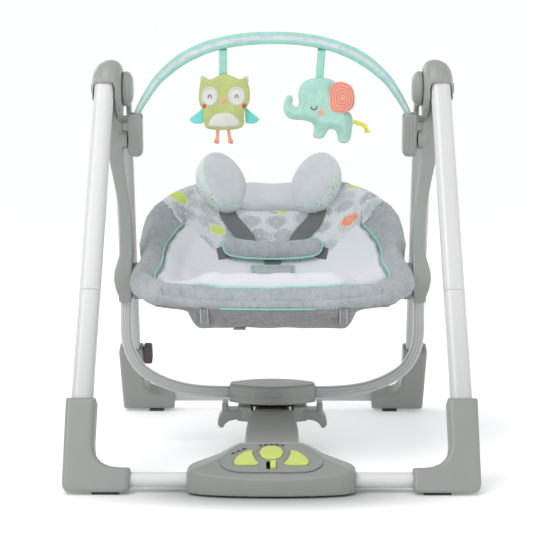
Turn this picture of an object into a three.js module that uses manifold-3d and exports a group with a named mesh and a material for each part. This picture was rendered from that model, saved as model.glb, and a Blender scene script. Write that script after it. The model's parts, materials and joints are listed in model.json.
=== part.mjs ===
// Portable baby swing: folding A-frame, seat on two hanging arms, drive unit on the front cross tube.
// Millimetres, +Z up, the front faces -Y, +X is the right-hand side seen from the front.
// All heights are above the floor. The outer group centres the swing over the origin.
import * as THREE from "three";
import { mergeVertices } from "three/addons/utils/BufferGeometryUtils.js";
import Module from "manifold-3d";

const wasm = await Module();
wasm.setup();

// ---------------------------------------------------------------- driving dimensions
const CENTRE_SHIFT_Y = 22.8;
const GAP = 0.4;
const SOLE_Z = 4;

const HUB = { y: 0, z: 580 };
const HUB_INNER_WALL = [241.5, 248];
const DISC_X = [226, 240.8];
const DISC_R = 28;
const AXLE_R = 8;
const AXLE_END = 274;

const FRONT_TOP = { y: -35, z: 590 };
const FRONT_BAR = { y: -350, z: 17, r: 10.8 };
const REAR_TOP = { y: 30, z: 575 };
const REAR_BAR = { y: 318, z: 27, r: 9 };

const LEG = { width: 31, depth: 24, corner: 10, wall: 1.8 };
const FRONT_LEG_X = { top: 267, lean: 0.0095 };
const REAR_LEG_X = { top: 247.5, lean: 0.0195 };
const FRONT_SEAM = -367;
const FRONT_SOCKET = -537;
const REAR_SOCKET = -508;
const REAR_LEG_START = -49;

const HINGE = { y: 0, z: 268 };
const TOY_PIVOT = { y: 0, z: 498 };
const TOY_BAR_LEAN = 8;
const TOY_X = 79;

const PANEL = { y: -351, z: 46, tilt: 23.2, thickness: 3 };
const MAGNET_Z = [71, 80, 101];
const TOWER_TOP = 65;

const GREY = { color: 0x969a96, roughness: 0.5, metalness: 0 };
const LIGHT_TUBE = { color: 0xe4e4e4, roughness: 0.35, metalness: 0.2 };
const GREY_TUBE = { color: 0xb9b9b9, roughness: 0.35, metalness: 0.2 };
const DARK_GREY = { color: 0x878b88, roughness: 0.55, metalness: 0 };
const RUBBER = { color: 0x4a4c4b, roughness: 0.9, metalness: 0 };
const LIME = { color: 0xd2de78, roughness: 0.5, metalness: 0 };
const SILVER = { color: 0xd8dadb, roughness: 0.25, metalness: 1 };
const COPPER = { color: 0xb06a3a, roughness: 0.4, metalness: 1 };
const BOARD_GREEN = { color: 0x2e6b45, roughness: 0.6, metalness: 0 };
const BROWN = { color: 0x4a3835, roughness: 0.8, metalness: 0 };
const PLUSH = { color: 0xacb4b8, roughness: 0.95, metalness: 0 };
const LINER = { color: 0xd7dce4, roughness: 0.9, metalness: 0 };
const PILLOW = { color: 0xcfd2d6, roughness: 0.9, metalness: 0 };
const MINT = { color: 0x96dcc8, roughness: 0.85, metalness: 0 };
const OWL = { color: 0xbecd6e, roughness: 0.95, metalness: 0 };
const ELEPHANT = { color: 0x9bd7c3, roughness: 0.95, metalness: 0 };
const WEBBING = { color: 0x696c6f, roughness: 0.9, metalness: 0 };

// ---------------------------------------------------------------- solids and placing
const swing = new THREE.Group();
swing.position.y = CENTRE_SHIFT_Y;

function toSolid(geometry) {
  const bare = geometry.clone();
  bare.deleteAttribute("normal");
  bare.deleteAttribute("uv");
  const merged = mergeVertices(bare, 1e-4);
  const mesh = new wasm.Mesh({
    numProp: 3,
    vertProperties: new Float32Array(merged.attributes.position.array),
    triVerts: new Uint32Array(merged.index.array),
  });
  return new wasm.Manifold(mesh);
}

function toGeometry(solid) {
  const mesh = solid.getMesh();
  const geometry = new THREE.BufferGeometry();
  geometry.setAttribute("position", new THREE.BufferAttribute(new Float32Array(mesh.vertProperties), 3));
  geometry.setIndex(new THREE.BufferAttribute(new Uint32Array(mesh.triVerts), 1));
  geometry.computeVertexNormals();
  return geometry;
}

function join(...geometries) {
  return toGeometry(geometries.map(toSolid).reduce((whole, piece) => whole.add(piece)));
}

function cut(geometry, ...tools) {
  return toGeometry(tools.map(toSolid).reduce((whole, tool) => whole.subtract(tool), toSolid(geometry)));
}

function common(...geometries) {
  return toGeometry(geometries.map(toSolid).reduce((whole, piece) => whole.intersect(piece)));
}

function mirrored(geometry) {
  const flipped = geometry.clone().applyMatrix4(new THREE.Matrix4().makeScale(-1, 1, 1));
  const index = flipped.index ? flipped.index.array : null;
  if (!index) throw new Error("a mirrored geometry needs an index");
  for (let i = 0; i < index.length; i += 3) {
    const first = index[i];
    index[i] = index[i + 2];
    index[i + 2] = first;
  }
  flipped.computeVertexNormals();
  return flipped;
}

function add(name, geometry, finish, parent = swing) {
  const mesh = new THREE.Mesh(geometry, new THREE.MeshStandardMaterial(finish));
  mesh.name = name;
  parent.add(mesh);
  return mesh;
}

// A pair of mirrored sub-parts: NAME_right as drawn, NAME_left mirrored.
function addPair(name, geometry, finish) {
  const indexed = toGeometry(toSolid(geometry));
  add(`${name}_right`, indexed, finish);
  add(`${name}_left`, mirrored(indexed), finish);
}

// ---------------------------------------------------------------- shapes
function polygon(points) {
  return new THREE.Shape(points.map(([x, y]) => new THREE.Vector2(x, y)));
}

function smoothOutline(points, divisions) {
  const curve = new THREE.CatmullRomCurve3(points.map(([x, y]) => new THREE.Vector3(x, y, 0)), true);
  return polygon(curve.getPoints(divisions).slice(0, -1).map((p) => [p.x, p.y]));
}

function roundedRect(width, height, radius, segments = 3) {
  const points = [];
  const corners = [[1, 1, 0], [-1, 1, 90], [-1, -1, 180], [1, -1, 270]];
  for (const [sx, sy, start] of corners) {
    for (let i = 0; i <= segments; i += 1) {
      const angle = THREE.MathUtils.degToRad(start + (90 * i) / segments);
      const x = sx * (width / 2 - radius) + radius * Math.cos(angle);
      const y = sy * (height / 2 - radius) + radius * Math.sin(angle);
      points.push([x, y]);
    }
  }
  return polygon(points);
}

function prism(shape, length, bevel = 0) {
  return new THREE.ExtrudeGeometry(shape, {
    depth: length - 2 * bevel,
    bevelEnabled: bevel > 0,
    bevelThickness: bevel,
    bevelSize: bevel,
    bevelOffset: -bevel,
    bevelSegments: 1,
    steps: 1,
    curveSegments: 5,
  }).translate(0, 0, bevel);
}

function prismZ(shape, low, high, bevel = 0) {
  return prism(shape, high - low, bevel).translate(0, 0, low);
}

// Profile drawn in (y, z), extruded along X.
function prismX(shape, low, high, bevel = 0) {
  const basis = new THREE.Matrix4().makeBasis(
    new THREE.Vector3(0, 1, 0),
    new THREE.Vector3(0, 0, 1),
    new THREE.Vector3(1, 0, 0),
  );
  return prism(shape, high - low, bevel).applyMatrix4(basis).translate(low, 0, 0);
}

// Profile drawn in (x, z), extruded along Y.
function prismY(shape, low, high, bevel = 0) {
  const basis = new THREE.Matrix4().makeBasis(
    new THREE.Vector3(1, 0, 0),
    new THREE.Vector3(0, 0, 1),
    new THREE.Vector3(0, -1, 0),
  );
  return prism(shape, high - low, bevel).applyMatrix4(basis).translate(0, high, 0);
}

function boxBetween(x, y, z) {
  return new THREE.BoxGeometry(x[1] - x[0], y[1] - y[0], z[1] - z[0])
    .translate((x[0] + x[1]) / 2, (y[0] + y[1]) / 2, (z[0] + z[1]) / 2);
}

function rodX(radius, low, high, y, z, sides = 20) {
  return new THREE.CylinderGeometry(radius, radius, high - low, sides)
    .rotateZ(Math.PI / 2)
    .translate((low + high) / 2, y, z);
}

function rodZ(radius, low, high, x, y, sides = 12) {
  return new THREE.CylinderGeometry(radius, radius, high - low, sides)
    .rotateX(Math.PI / 2)
    .translate(x, y, (low + high) / 2);
}

// A solid of revolution about the X axis through (y, z); profile points are [x, radius].
function turnedX(profile, y, z, sides = 24) {
  const points = profile.map(([x, r]) => new THREE.Vector2(r, x));
  return new THREE.LatheGeometry(points, sides).rotateZ(-Math.PI / 2).translate(0, y, z);
}

function barAlong(points, section, steps, closed = false) {
  const curve = new THREE.CatmullRomCurve3(points.map((p) => new THREE.Vector3(...p)), closed, "centripetal");
  return new THREE.ExtrudeGeometry(section, { steps, extrudePath: curve, bevelEnabled: false, curveSegments: 3 });
}

// ---------------------------------------------------------------- leg frames
// A leg frame has its origin on the leg's centre line at the hub and -Z down the leg.
function legFrame(top, bar) {
  const angle = Math.atan2(bar.y - top.y, top.z - bar.z);
  return new THREE.Matrix4().makeTranslation(0, top.y, top.z)
    .multiply(new THREE.Matrix4().makeRotationX(angle));
}

const frontFrame = legFrame(FRONT_TOP, FRONT_BAR);
const rearFrame = legFrame(REAR_TOP, REAR_BAR);

// A tube solid in a leg frame, leaning outwards by `lean` per unit of length.
function legSolid(legX, width, depth, corner, low, high) {
  const shear = new THREE.Matrix4().set(1, 0, -legX.lean, legX.top, 0, 1, 0, 0, 0, 0, 1, 0, 0, 0, 0, 1);
  return prismZ(roundedRect(width, depth, corner), low, high).applyMatrix4(shear);
}

function legTube(legX, low, high) {
  const outer = legSolid(legX, LEG.width, LEG.depth, LEG.corner, low, high);
  const inside = 2 * LEG.wall;
  const bore = legSolid(legX, LEG.width - inside, LEG.depth - inside, LEG.corner - LEG.wall, low - 1, high + 1);
  return cut(outer, bore);
}

function legClearance(legX, low, high) {
  const wider = 2 * GAP;
  return legSolid(legX, LEG.width + wider, LEG.depth + wider, LEG.corner + GAP, low, high);
}

function spigot(legX, low, high, bore) {
  const inside = 2 * LEG.wall + 2 * GAP;
  const outer = legSolid(legX, LEG.width - inside, LEG.depth - inside, LEG.corner - 2, low, high);
  const inner = legSolid(legX, LEG.width - inside - 3, LEG.depth - inside - 3, LEG.corner - 3.5, low - 1, high + 1);
  return bore ? cut(outer, inner) : outer;
}

function frontLegs() {
  const upper = legTube(FRONT_LEG_X, FRONT_SEAM + 0.5, 6).applyMatrix4(frontFrame);
  const lowerTube = legTube(FRONT_LEG_X, FRONT_SOCKET - 45, FRONT_SEAM);
  const collar = cut(
    legSolid(FRONT_LEG_X, LEG.width - 2, LEG.depth - 2, LEG.corner - 1, FRONT_SEAM - 8, FRONT_SEAM),
    legSolid(FRONT_LEG_X, LEG.width - 7.4, LEG.depth - 7.4, LEG.corner - 3.7, FRONT_SEAM - 9, FRONT_SEAM + 1),
  );
  const lower = join(lowerTube, collar, spigot(FRONT_LEG_X, FRONT_SEAM - 8, FRONT_SEAM + 30, true));
  addPair("front_leg_upper", upper, LIGHT_TUBE);
  addPair("front_leg_lower", lower.applyMatrix4(frontFrame), LIGHT_TUBE);
}

// ---------------------------------------------------------------- elbow feet
const FRONT_FOOT_OUTLINE = {
  outer: 294, inner: 251, end: 197, socket: FRONT_SOCKET, top: -640, bottom: -678, endBottom: -672, fillet: 40,
};
const REAR_FOOT_OUTLINE = {
  outer: 280.5, inner: 236.5, end: 183, socket: REAR_SOCKET, top: -606, bottom: -654, endBottom: -634, fillet: 32,
};

function footShape(o) {
  const shape = new THREE.Shape();
  shape.moveTo(o.outer, o.socket);
  shape.lineTo(o.outer - 2, o.bottom + 18);
  shape.quadraticCurveTo(o.outer - 2, o.bottom, o.outer - 20, o.bottom);
  shape.lineTo(o.end + 18, o.bottom);
  shape.quadraticCurveTo(o.end, o.bottom, o.end, o.endBottom + 4);
  shape.lineTo(o.end, o.top);
  shape.lineTo(o.inner - o.fillet, o.top);
  shape.quadraticCurveTo(o.inner, o.top, o.inner, o.top + o.fillet);
  shape.lineTo(o.inner, o.socket);
  shape.closePath();
  return shape;
}

function elbowFoot(outline, frame, bar, legX) {
  const body = prismY(footShape(outline), -18, 18, 4).applyMatrix4(frame);
  const legBore = legClearance(legX, outline.socket - 46, outline.socket + 40).applyMatrix4(frame);
  const barBore = rodX(bar.r + GAP, outline.end - 10, outline.end + 34, bar.y, bar.z);
  const floor = boxBetween([100, 400], [-500, 500], [-80, SOLE_Z]);
  return cut(body, legBore, barBore, floor);
}

function footPad(x, y) {
  return boxBetween(x, y, [0, SOLE_Z - 0.3]);
}

function feet() {
  addPair("front_foot", elbowFoot(FRONT_FOOT_OUTLINE, frontFrame, FRONT_BAR, FRONT_LEG_X), GREY);
  addPair("rear_foot", elbowFoot(REAR_FOOT_OUTLINE, rearFrame, REAR_BAR, REAR_LEG_X), GREY);
  addPair("front_foot_pad", footPad([212, 250], [-369, -341]), RUBBER);
  addPair("rear_foot_pad", footPad([204, 230], [308, 334]), RUBBER);
}

function crossTubes() {
  const frontEnd = FRONT_FOOT_OUTLINE.end + 32;
  const rearEnd = REAR_FOOT_OUTLINE.end + 32;
  const front = cut(
    rodX(FRONT_BAR.r, -frontEnd, frontEnd, FRONT_BAR.y, FRONT_BAR.z),
    rodX(FRONT_BAR.r - LEG.wall, -frontEnd - 1, frontEnd + 1, FRONT_BAR.y, FRONT_BAR.z),
  );
  const rear = cut(
    rodX(REAR_BAR.r, -rearEnd, rearEnd, REAR_BAR.y, REAR_BAR.z),
    rodX(REAR_BAR.r - LEG.wall, -rearEnd - 1, rearEnd + 1, REAR_BAR.y, REAR_BAR.z),
  );
  add("front_cross_tube", front, LIGHT_TUBE);
  add("rear_cross_tube", rear, GREY_TUBE);
}

// ---------------------------------------------------------------- hubs
const HELMET = { y: -10, r: 46 };
const ARM_SLOT = [249.6, 266.2];
const HUB_LEG_X = 267.2;
const FOLD_BUTTON_R = 10;
const HUB_LIP_Z = -11.5;

function hubHousing() {
  const profile = [
    [HUB_INNER_WALL[0], 0], [HUB_INNER_WALL[0], 33], [245, 40], [251, 44.5], [259, HELMET.r], [268, 45],
    [277.5, 40.5], [284.5, 32], [288.5, 19], [289.5, 0],
  ];
  const dome = turnedX(profile, HELMET.y, HUB.z, 24);
  const sleeve = legSolid(FRONT_LEG_X, LEG.width + 6, LEG.depth + 6, LEG.corner + 3, -34, -2)
    .applyMatrix4(frontFrame);
  const flange = prismX(roundedRect(30, 44, 12), HUB_INNER_WALL[0], HUB_INNER_WALL[1])
    .translate(0, HUB.y - 8, HUB.z - 24);
  const legBore = legClearance(FRONT_LEG_X, -60, 7).applyMatrix4(frontFrame);
  const legOpening = boxBetween([HUB_LEG_X - 16.4, HUB_LEG_X + 16.4], [-45, 0], [-70, HUB_LIP_Z])
    .applyMatrix4(frontFrame);
  const armRoom = rodX(21, ARM_SLOT[0], ARM_SLOT[1], HUB.y, HUB.z);
  const below = boxBetween(ARM_SLOT, [-62, 40], [HUB.z - 70, HUB.z]);
  const axleBore = rodX(AXLE_R + GAP, 230, AXLE_END + 0.5, HUB.y, HUB.z);
  const buttonBore = rodX(FOLD_BUTTON_R + 0.4, AXLE_END + 0.5, 300, HUB.y, HUB.z);
  return cut(join(dome, sleeve, flange), legBore, legOpening, armRoom, below, axleBore, buttonBore);
}

function hubs() {
  addPair("hub_housing", hubHousing(), GREY);
  addPair("hub_axle", rodX(AXLE_R, DISC_X[0] + 4, AXLE_END, HUB.y, HUB.z), SILVER);
  const button = [[280, 0], [280, FOLD_BUTTON_R], [291, FOLD_BUTTON_R], [292.4, 8.5], [293, 0]];
  addPair("fold_button", turnedX(button, HUB.y, HUB.z, 24), DARK_GREY);
}

// The rear hub: a disc on the hub axis, a web beside the housing and a plug in the rear leg's top.
function rearHubs() {
  const disc = turnedX(
    [[DISC_X[0], 0], [DISC_X[0], 18], [229, 24], [233, DISC_R], [DISC_X[1], DISC_R], [DISC_X[1], 0]],
    HUB.y, HUB.z,
  );
  const web = boxBetween([233, DISC_X[1]], [-10, 11], [REAR_LEG_START - 10, 8]).applyMatrix4(rearFrame);
  const cap = legSolid(REAR_LEG_X, 27, 20, 7, REAR_LEG_START + GAP, REAR_LEG_START + 4).applyMatrix4(rearFrame);
  const bridge = boxBetween([234, 246], [-8, 9], [REAR_LEG_START + GAP, REAR_LEG_START + 4]).applyMatrix4(rearFrame);
  const plug = spigot(REAR_LEG_X, REAR_LEG_START - 40, REAR_LEG_START + 3, false).applyMatrix4(rearFrame);
  const webTrim = boxBetween([220, 260], [-30, 30], [REAR_LEG_START - 60, REAR_LEG_START + GAP])
    .applyMatrix4(rearFrame);
  const upper = cut(join(disc, web), webTrim);
  const axleBore = rodX(AXLE_R + GAP, DISC_X[0] + 3.5, 260, HUB.y, HUB.z);
  return cut(join(upper, cap, bridge, plug), axleBore);
}

function rearFrameParts() {
  addPair("rear_hub", rearHubs(), GREY);
  addPair("rear_leg", legTube(REAR_LEG_X, REAR_SOCKET - 45, REAR_LEG_START).applyMatrix4(rearFrame), GREY_TUBE);
  const clip = prismY(roundedRect(15, 34, 4), -9, 9).translate(REAR_FOOT_OUTLINE.inner - 8.2, 0, REAR_SOCKET - 14)
    .applyMatrix4(rearFrame);
  add("leg_clip", mirrored(toGeometry(toSolid(clip))), BROWN);
}

// ---------------------------------------------------------------- swing arms and lower tubes
const ARM_FRONT_OUTLINE = [
  [264.6, 602], [264.6, 520], [267, 502], [267, 484], [262.5, 457], [256, 425], [250, 392], [248, 350],
  [248, 312], [251.5, 300], [255, 286], [255.5, 272], [253, 258], [249.5, 246], [249.5, 234],
  [228.5, 234], [228, 250], [226.6, 262], [226.6, 312], [228, 350], [231, 392], [238, 440],
  [242, 470], [242, 522], [251, 532], [251, 602],
];

function armSideOutline() {
  const shape = new THREE.Shape();
  shape.moveTo(17, HUB.z);
  shape.absarc(0, HUB.z, 17, 0, Math.PI, false);
  shape.lineTo(-10, HUB.z - 30);
  shape.lineTo(-11, HINGE.z + 70);
  shape.quadraticCurveTo(-12, HINGE.z + 44, -30, HINGE.z + 14);
  shape.absarc(0, HINGE.z, 33, Math.PI - 0.43, Math.PI + 0.8, false);
  shape.lineTo(-15, 234);
  shape.lineTo(15, 234);
  shape.absarc(0, HINGE.z, 33, -0.8, 0.43, false);
  shape.quadraticCurveTo(12, HINGE.z + 44, 11, HINGE.z + 70);
  shape.lineTo(10, HUB.z - 30);
  shape.closePath();
  return shape;
}

const TUBE = { width: 17.5, depth: 19, wall: 1.8, steps: 15 };
const TUBE_PATH = [
  [239, 0, 262], [239, 0, 225], [239, 0, 187], [236, 0, 162], [228, 0, 142], [216, 0, 125], [199, 0, 112],
  [178, 0, 101.5], [156, 0, 94], [130, 0, 89], [100, 0, 86.5], [62, 0, 86],
];

function swingArms() {
  const body = common(
    prismY(polygon(ARM_FRONT_OUTLINE), -40, 40),
    prismX(armSideOutline(), 220, 275, 0),
  );
  const boss = rodX(15, 234.5, 250, TOY_PIVOT.y, TOY_PIVOT.z);
  const toyPin = rodX(5, 222, 240, TOY_PIVOT.y, TOY_PIVOT.z, 16);
  const reclinePin = rodX(9, 215, 235, HINGE.y, HINGE.z);
  const axleBore = rodX(AXLE_R + 0.1, 240, 275, HUB.y, HUB.z);
  const section = roundedRect(TUBE.width + 2 * GAP, TUBE.depth + 2 * GAP, 6);
  const socket = prismZ(section, 220, 256).translate(239, 0, 0);
  addPair("swing_arm", cut(join(body, boss, toyPin, reclinePin), axleBore, socket), GREY);
}

function swingTubes() {
  const inside = 2 * TUBE.wall;
  const outer = barAlong(TUBE_PATH, roundedRect(TUBE.depth, TUBE.width, 5.5, 1), TUBE.steps);
  const inner = barAlong(TUBE_PATH, roundedRect(TUBE.depth - inside, TUBE.width - inside, 4, 1), TUBE.steps);
  const ends = [boxBetween([200, 270], [-20, 20], [255, 300]), boxBetween([20, 63], [-20, 20], [60, 110])];
  addPair("swing_tube", cut(outer, inner, ...ends), GREY_TUBE);
}

// ---------------------------------------------------------------- hanging magnet housing
function lensOutline(halfWidth, front, back, end) {
  const shape = new THREE.Shape();
  shape.moveTo(-halfWidth, end[0]);
  shape.quadraticCurveTo(-halfWidth * 0.5, front, 0, front);
  shape.quadraticCurveTo(halfWidth * 0.5, front, halfWidth, end[0]);
  shape.lineTo(halfWidth, end[1]);
  shape.quadraticCurveTo(halfWidth * 0.5, back, 0, back);
  shape.quadraticCurveTo(-halfWidth * 0.5, back, -halfWidth, end[1]);
  shape.closePath();
  return shape;
}

function magnetHousing() {
  const [low, seam, high] = MAGNET_Z;
  const outer = lensOutline(70, -50, 48, [-14, 14]);
  const inner = lensOutline(66, -46, 44, [-12, 12]);
  const tubeBore = prismX(roundedRect(TUBE.depth + 1.2, TUBE.width + 1.4, 6, 1), -80, 80).translate(0, 0, 86.1);
  const top = cut(prismZ(outer, seam + 0.3, high, 3), prismZ(inner, seam - 5, high - 4), tubeBore);
  const base = cut(prismZ(outer, low, seam), prismZ(inner, low + 2.5, seam + 5), tubeBore);
  add("magnet_housing_top", top, GREY);
  add("magnet_housing_base", base, GREY);
  add("magnet", boxBetween([-32, 32], [-22, 22], [low + 2.9, low + 8]), SILVER);
}

// ---------------------------------------------------------------- drive neck and coil tower
function neckSide(offset) {
  const top = 61 - offset;
  return smoothToPolygon(
    [[-301 + offset, top], [-262, 54 - offset], [-215, 49 - offset], [-160, 47 - offset], [-110, 49 - offset],
      [-75, 56 - offset], [-50, 62 - offset], [-36 - offset, 63 - offset]],
    [[-36 - offset, 22.4], [-301 + offset, 22.4]],
  );
}

function smoothToPolygon(curvePoints, corners) {
  const curve = new THREE.CatmullRomCurve3(curvePoints.map(([x, y]) => new THREE.Vector3(x, y, 0)));
  return polygon([...curve.getPoints(18).map((p) => [p.x, p.y]), ...corners]);
}

function neckPlan(offset) {
  const w = 41.5 - offset;
  return polygon([
    [-w, -301 + offset], [w, -301 + offset], [w, -96], [w - 6, -66], [w - 16, -36 - offset],
    [-w + 16, -36 - offset], [-w + 6, -66], [-w, -96],
  ]);
}

function neckSection(offset) {
  const w = 41.5 - offset;
  return polygon([[-w, 22.4], [w, 22.4], [w, 40], [w - 7, 66 - offset], [-w + 7, 66 - offset], [-w, 40]]);
}

function neckSolid(offset) {
  return common(
    prismX(neckSide(offset), -60, 60),
    prismZ(neckPlan(offset), 10, 80),
    prismY(neckSection(offset), -310, -20),
  );
}

function driveNeck() {
  const openBelow = boxBetween([-36, 36], [-298, -52], [20, 26]);
  add("neck_cover", cut(neckSolid(0), neckSolid(2.6), openBelow), GREY);
  const base = prismZ(roundedRect(76, 262, 8), 18, 22).translate(0, -167, 0);
  add("neck_base", base, DARK_GREY);
}

function wingOutline() {
  const half = [
    [0, 44], [52, 44], [60, 43], [70, 41], [77, 36], [80, 30], [86, 30], [89.5, 36], [88, 46], [82, 54],
    [82, 70], [73, 70], [73, 58], [60, 58], [0, 58],
  ];
  const left = half.slice(1, -1).reverse().map(([x, z]) => [-x, z]);
  return polygon([...half, ...left]);
}

function coilTower() {
  const wings = prismY(wingOutline(), -24, 26, 1.5);
  const saddle = prismZ(lensOutline(57, -35, 40, [-20, 22]), 40, TOWER_TOP, 2);
  const underside = prismZ(roundedRect(50, 44, 6), 30, 50).translate(0, 2, 0);
  const coilRoom = prismZ(roundedRect(74, 40, 14), 52, 90);
  const slot = boxBetween([-34, 34], [-60, -8], [59, 90]);
  add("coil_housing", cut(join(wings, saddle), underside, coilRoom, slot), GREY);
  const coil = cut(
    prismZ(roundedRect(72, 38, 13), 52.4, 61),
    prismZ(roundedRect(46, 14, 6), 50, 70),
  );
  add("drive_coil", coil, COPPER);
  const bracket = join(
    boxBetween([-31, 31], [-31.5, -25.5], [59.3, 61]),
    rodZ(2.6, 60, 66, -28.5, -28.5),
    rodZ(2.6, 60, 66, 28.5, -28.5),
  );
  add("coil_bracket", bracket, SILVER);
}

// ---------------------------------------------------------------- control unit
function housingSolid(inset) {
  const plan = smoothOutline(
    [[0, -394 + inset], [62, -391 + inset], [104, -380 + inset], [118 - inset, -366], [118 - inset, -334],
      [100, -321 - inset], [58, -307 - inset], [0, -304 - inset], [-58, -307 - inset], [-100, -321 - inset],
      [-118 + inset, -334], [-118 + inset, -366], [-104, -380 + inset], [-62, -391 + inset]],
    32,
  );
  const front = polygon([
    [-118 + inset, 3 + inset], [118 - inset, 3 + inset], [118 - inset, 32 - inset], [112, 36 - inset],
    [87, 43 - inset], [72, 48 - inset], [55, 57 - inset], [42, 62 - inset], [-42, 62 - inset],
    [-55, 57 - inset], [-72, 48 - inset], [-87, 43 - inset], [-112, 36 - inset], [-118 + inset, 32 - inset],
  ]);
  const side = polygon([
    [-400, 3 + inset], [-400, 14], [-394 + inset, 26 - inset / 2], [-387 + inset, 31 - inset],
    [-316, 61.4 - inset], [-304, 61.4 - inset], [-290, 40], [-290, 3 + inset],
  ]);
  return common(prismZ(plan, 0, 80), prismY(front, -420, -280), prismX(side, -130, 130));
}

const panelFrame = new THREE.Matrix4().makeTranslation(0, PANEL.y, PANEL.z)
  .multiply(new THREE.Matrix4().makeRotationX(THREE.MathUtils.degToRad(PANEL.tilt)));

function panelOutline(scale = 1) {
  const half = [[0, -33], [40, -33], [58, -29], [70, -18], [72, -8], [64, 4], [50, 18], [36, 30], [18, 35], [0, 36]];
  const left = half.slice(1, -1).reverse().map(([x, y]) => [-x, y]);
  return smoothOutline([...half, ...left].map(([x, y]) => [x * scale, y * scale]), 34);
}

const BUTTON_CENTRE = { x: 0, y: 11, r: 17 };
const WING_BUTTON = [[52, -13], [45, 5], [28, 16.5], [26.5, 6], [22.5, -6.5], [18, -16.5], [34, -19], [49, -17.5]];
const SWITCH = { x: [-1.5, 6.5], y: [-26, -9.5], travel: 5 };

function grown(points, margin) {
  const cx = points.reduce((sum, p) => sum + p[0], 0) / points.length;
  const cy = points.reduce((sum, p) => sum + p[1], 0) / points.length;
  return points.map(([x, y]) => {
    const length = Math.hypot(x - cx, y - cy);
    return [x + ((x - cx) * margin) / length, y + ((y - cy) * margin) / length];
  });
}

function wingButton(margin, low, high) {
  return prismZ(smoothOutline(grown(WING_BUTTON, margin), 28), low, high);
}

function controlUnit() {
  const outer = housingSolid(0);
  const inner = housingSolid(2.6);
  const barRoom = rodX(FRONT_BAR.r + GAP, -140, 140, FRONT_BAR.y, FRONT_BAR.z);
  const window = prismZ(panelOutline(0.88), -12, 20).applyMatrix4(panelFrame);
  const seat = prismZ(panelOutline(1.0), 0, 20).applyMatrix4(panelFrame);
  const above = boxBetween([-200, 200], [-450, -250], [11.7, 90]);
  const beneath = boxBetween([-200, 200], [-450, -250], [-10, 12]);
  const doorOpening = boxBetween([-70, 70], [-340, -312], [0, 12]);
  const neckJoint = boxBetween([-34, 34], [-306, -296], [26, 56]);
  add("control_housing_top", cut(outer, inner, barRoom, window, seat, beneath, neckJoint), GREY);
  add("control_housing_base", cut(outer, inner, barRoom, doorOpening, above), GREY);
  add("battery_door", boxBetween([-69.5, 69.5], [-339.5, -312.5], [3.2, 5.4]), DARK_GREY);
  const high = PANEL.thickness;
  const panel = cut(
    prismZ(panelOutline(0.985), 0.4, high),
    prismZ(new THREE.Shape().absarc(BUTTON_CENTRE.x, BUTTON_CENTRE.y, BUTTON_CENTRE.r + GAP, 0, 2 * Math.PI), -1, 9),
    wingButton(GAP, -1, 9),
    mirroredX(wingButton(GAP, -1, 9)),
    boxBetween([SWITCH.x[0] - GAP - SWITCH.travel, SWITCH.x[1] + GAP], [SWITCH.y[0] - GAP, -7.2], [-1, 9]),
  ).applyMatrix4(panelFrame);
  add("control_panel", panel, GREY);
  const round = new THREE.Shape().absarc(BUTTON_CENTRE.x, BUTTON_CENTRE.y, BUTTON_CENTRE.r, 0, 2 * Math.PI);
  add("power_button", prismZ(round, -3, high + 2.4, 0.8).applyMatrix4(panelFrame), LIME);
  const wing = toGeometry(toSolid(wingButton(0, -3, high + 2)));
  add("volume_button", mirrored(wing).applyMatrix4(panelFrame), LIME);
  add("melody_button", wing.clone().applyMatrix4(panelFrame), LIME);
  add("mode_switch", boxBetween(SWITCH.x, SWITCH.y, [-3, high + 3]).applyMatrix4(panelFrame), LIME);
  const board = boxBetween([-46, 46], [-24, 24], [-11, -9.4]).applyMatrix4(panelFrame);
  add("circuit_board", board, BOARD_GREEN);
}

function mirroredX(geometry) {
  return mirrored(toGeometry(toSolid(geometry)));
}

// ---------------------------------------------------------------- toy bar and toys
// Half of the arch, from the middle out to the tip: x, height over the pivot.
const BAR_ARCH = [
  [0, 163], [50, 160.3], [94, 151.5], [128, 138.6], [150, 126], [168, 112], [187, 93.5], [206, 65.5], [216, 48],
  [221.9, 33],
];
const BAR_TIP_Z = 33;

function barPath() {
  const right = BAR_ARCH.map(([x, z]) => [x, 0, z]);
  const left = BAR_ARCH.slice(1).reverse().map(([x, z]) => [-x, 0, z]);
  return [...left, ...right];
}

const CLIP_X = [210.5, 233];

const toyFrame = new THREE.Matrix4().makeTranslation(0, TOY_PIVOT.y, TOY_PIVOT.z)
  .multiply(new THREE.Matrix4().makeRotationX(THREE.MathUtils.degToRad(TOY_BAR_LEAN)));

function toyBar() {
  const bar = barAlong(barPath(), roundedRect(14, 14, 4.5, 1), 30).applyMatrix4(toyFrame);
  add("toy_bar", bar, MINT);
  const sideShape = prismX(roundedRect(30, 74, 13), CLIP_X[0], CLIP_X[1], 3).translate(0, 0, 9);
  const frontShape = prismY(roundedRect(CLIP_X[1] - CLIP_X[0], 94, 10), -20, 20, 3)
    .translate((CLIP_X[0] + CLIP_X[1]) / 2, 0, 19);
  const body = toGeometry(toSolid(sideShape).intersect(toSolid(frontShape)));
  const socket = boxBetween([213, 230.5], [-9, 9], [BAR_TIP_Z - 3, 60]);
  const mouth = boxBetween([200, 230.5], [-9, 9], [BAR_TIP_Z + 2, 60]);
  const pinBore = rodX(5.4, 221, 240, 0, 0, 16);
  addPair("toy_clip", cut(body, socket, mouth, pinBore).applyMatrix4(toyFrame), GREY);
}

const RIBBON_TOP = 641.8;

function flatToy(outline, thickness, y, divisions) {
  return prismY(smoothOutline(outline, divisions), y - thickness / 2, y + thickness / 2, 5);
}

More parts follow.
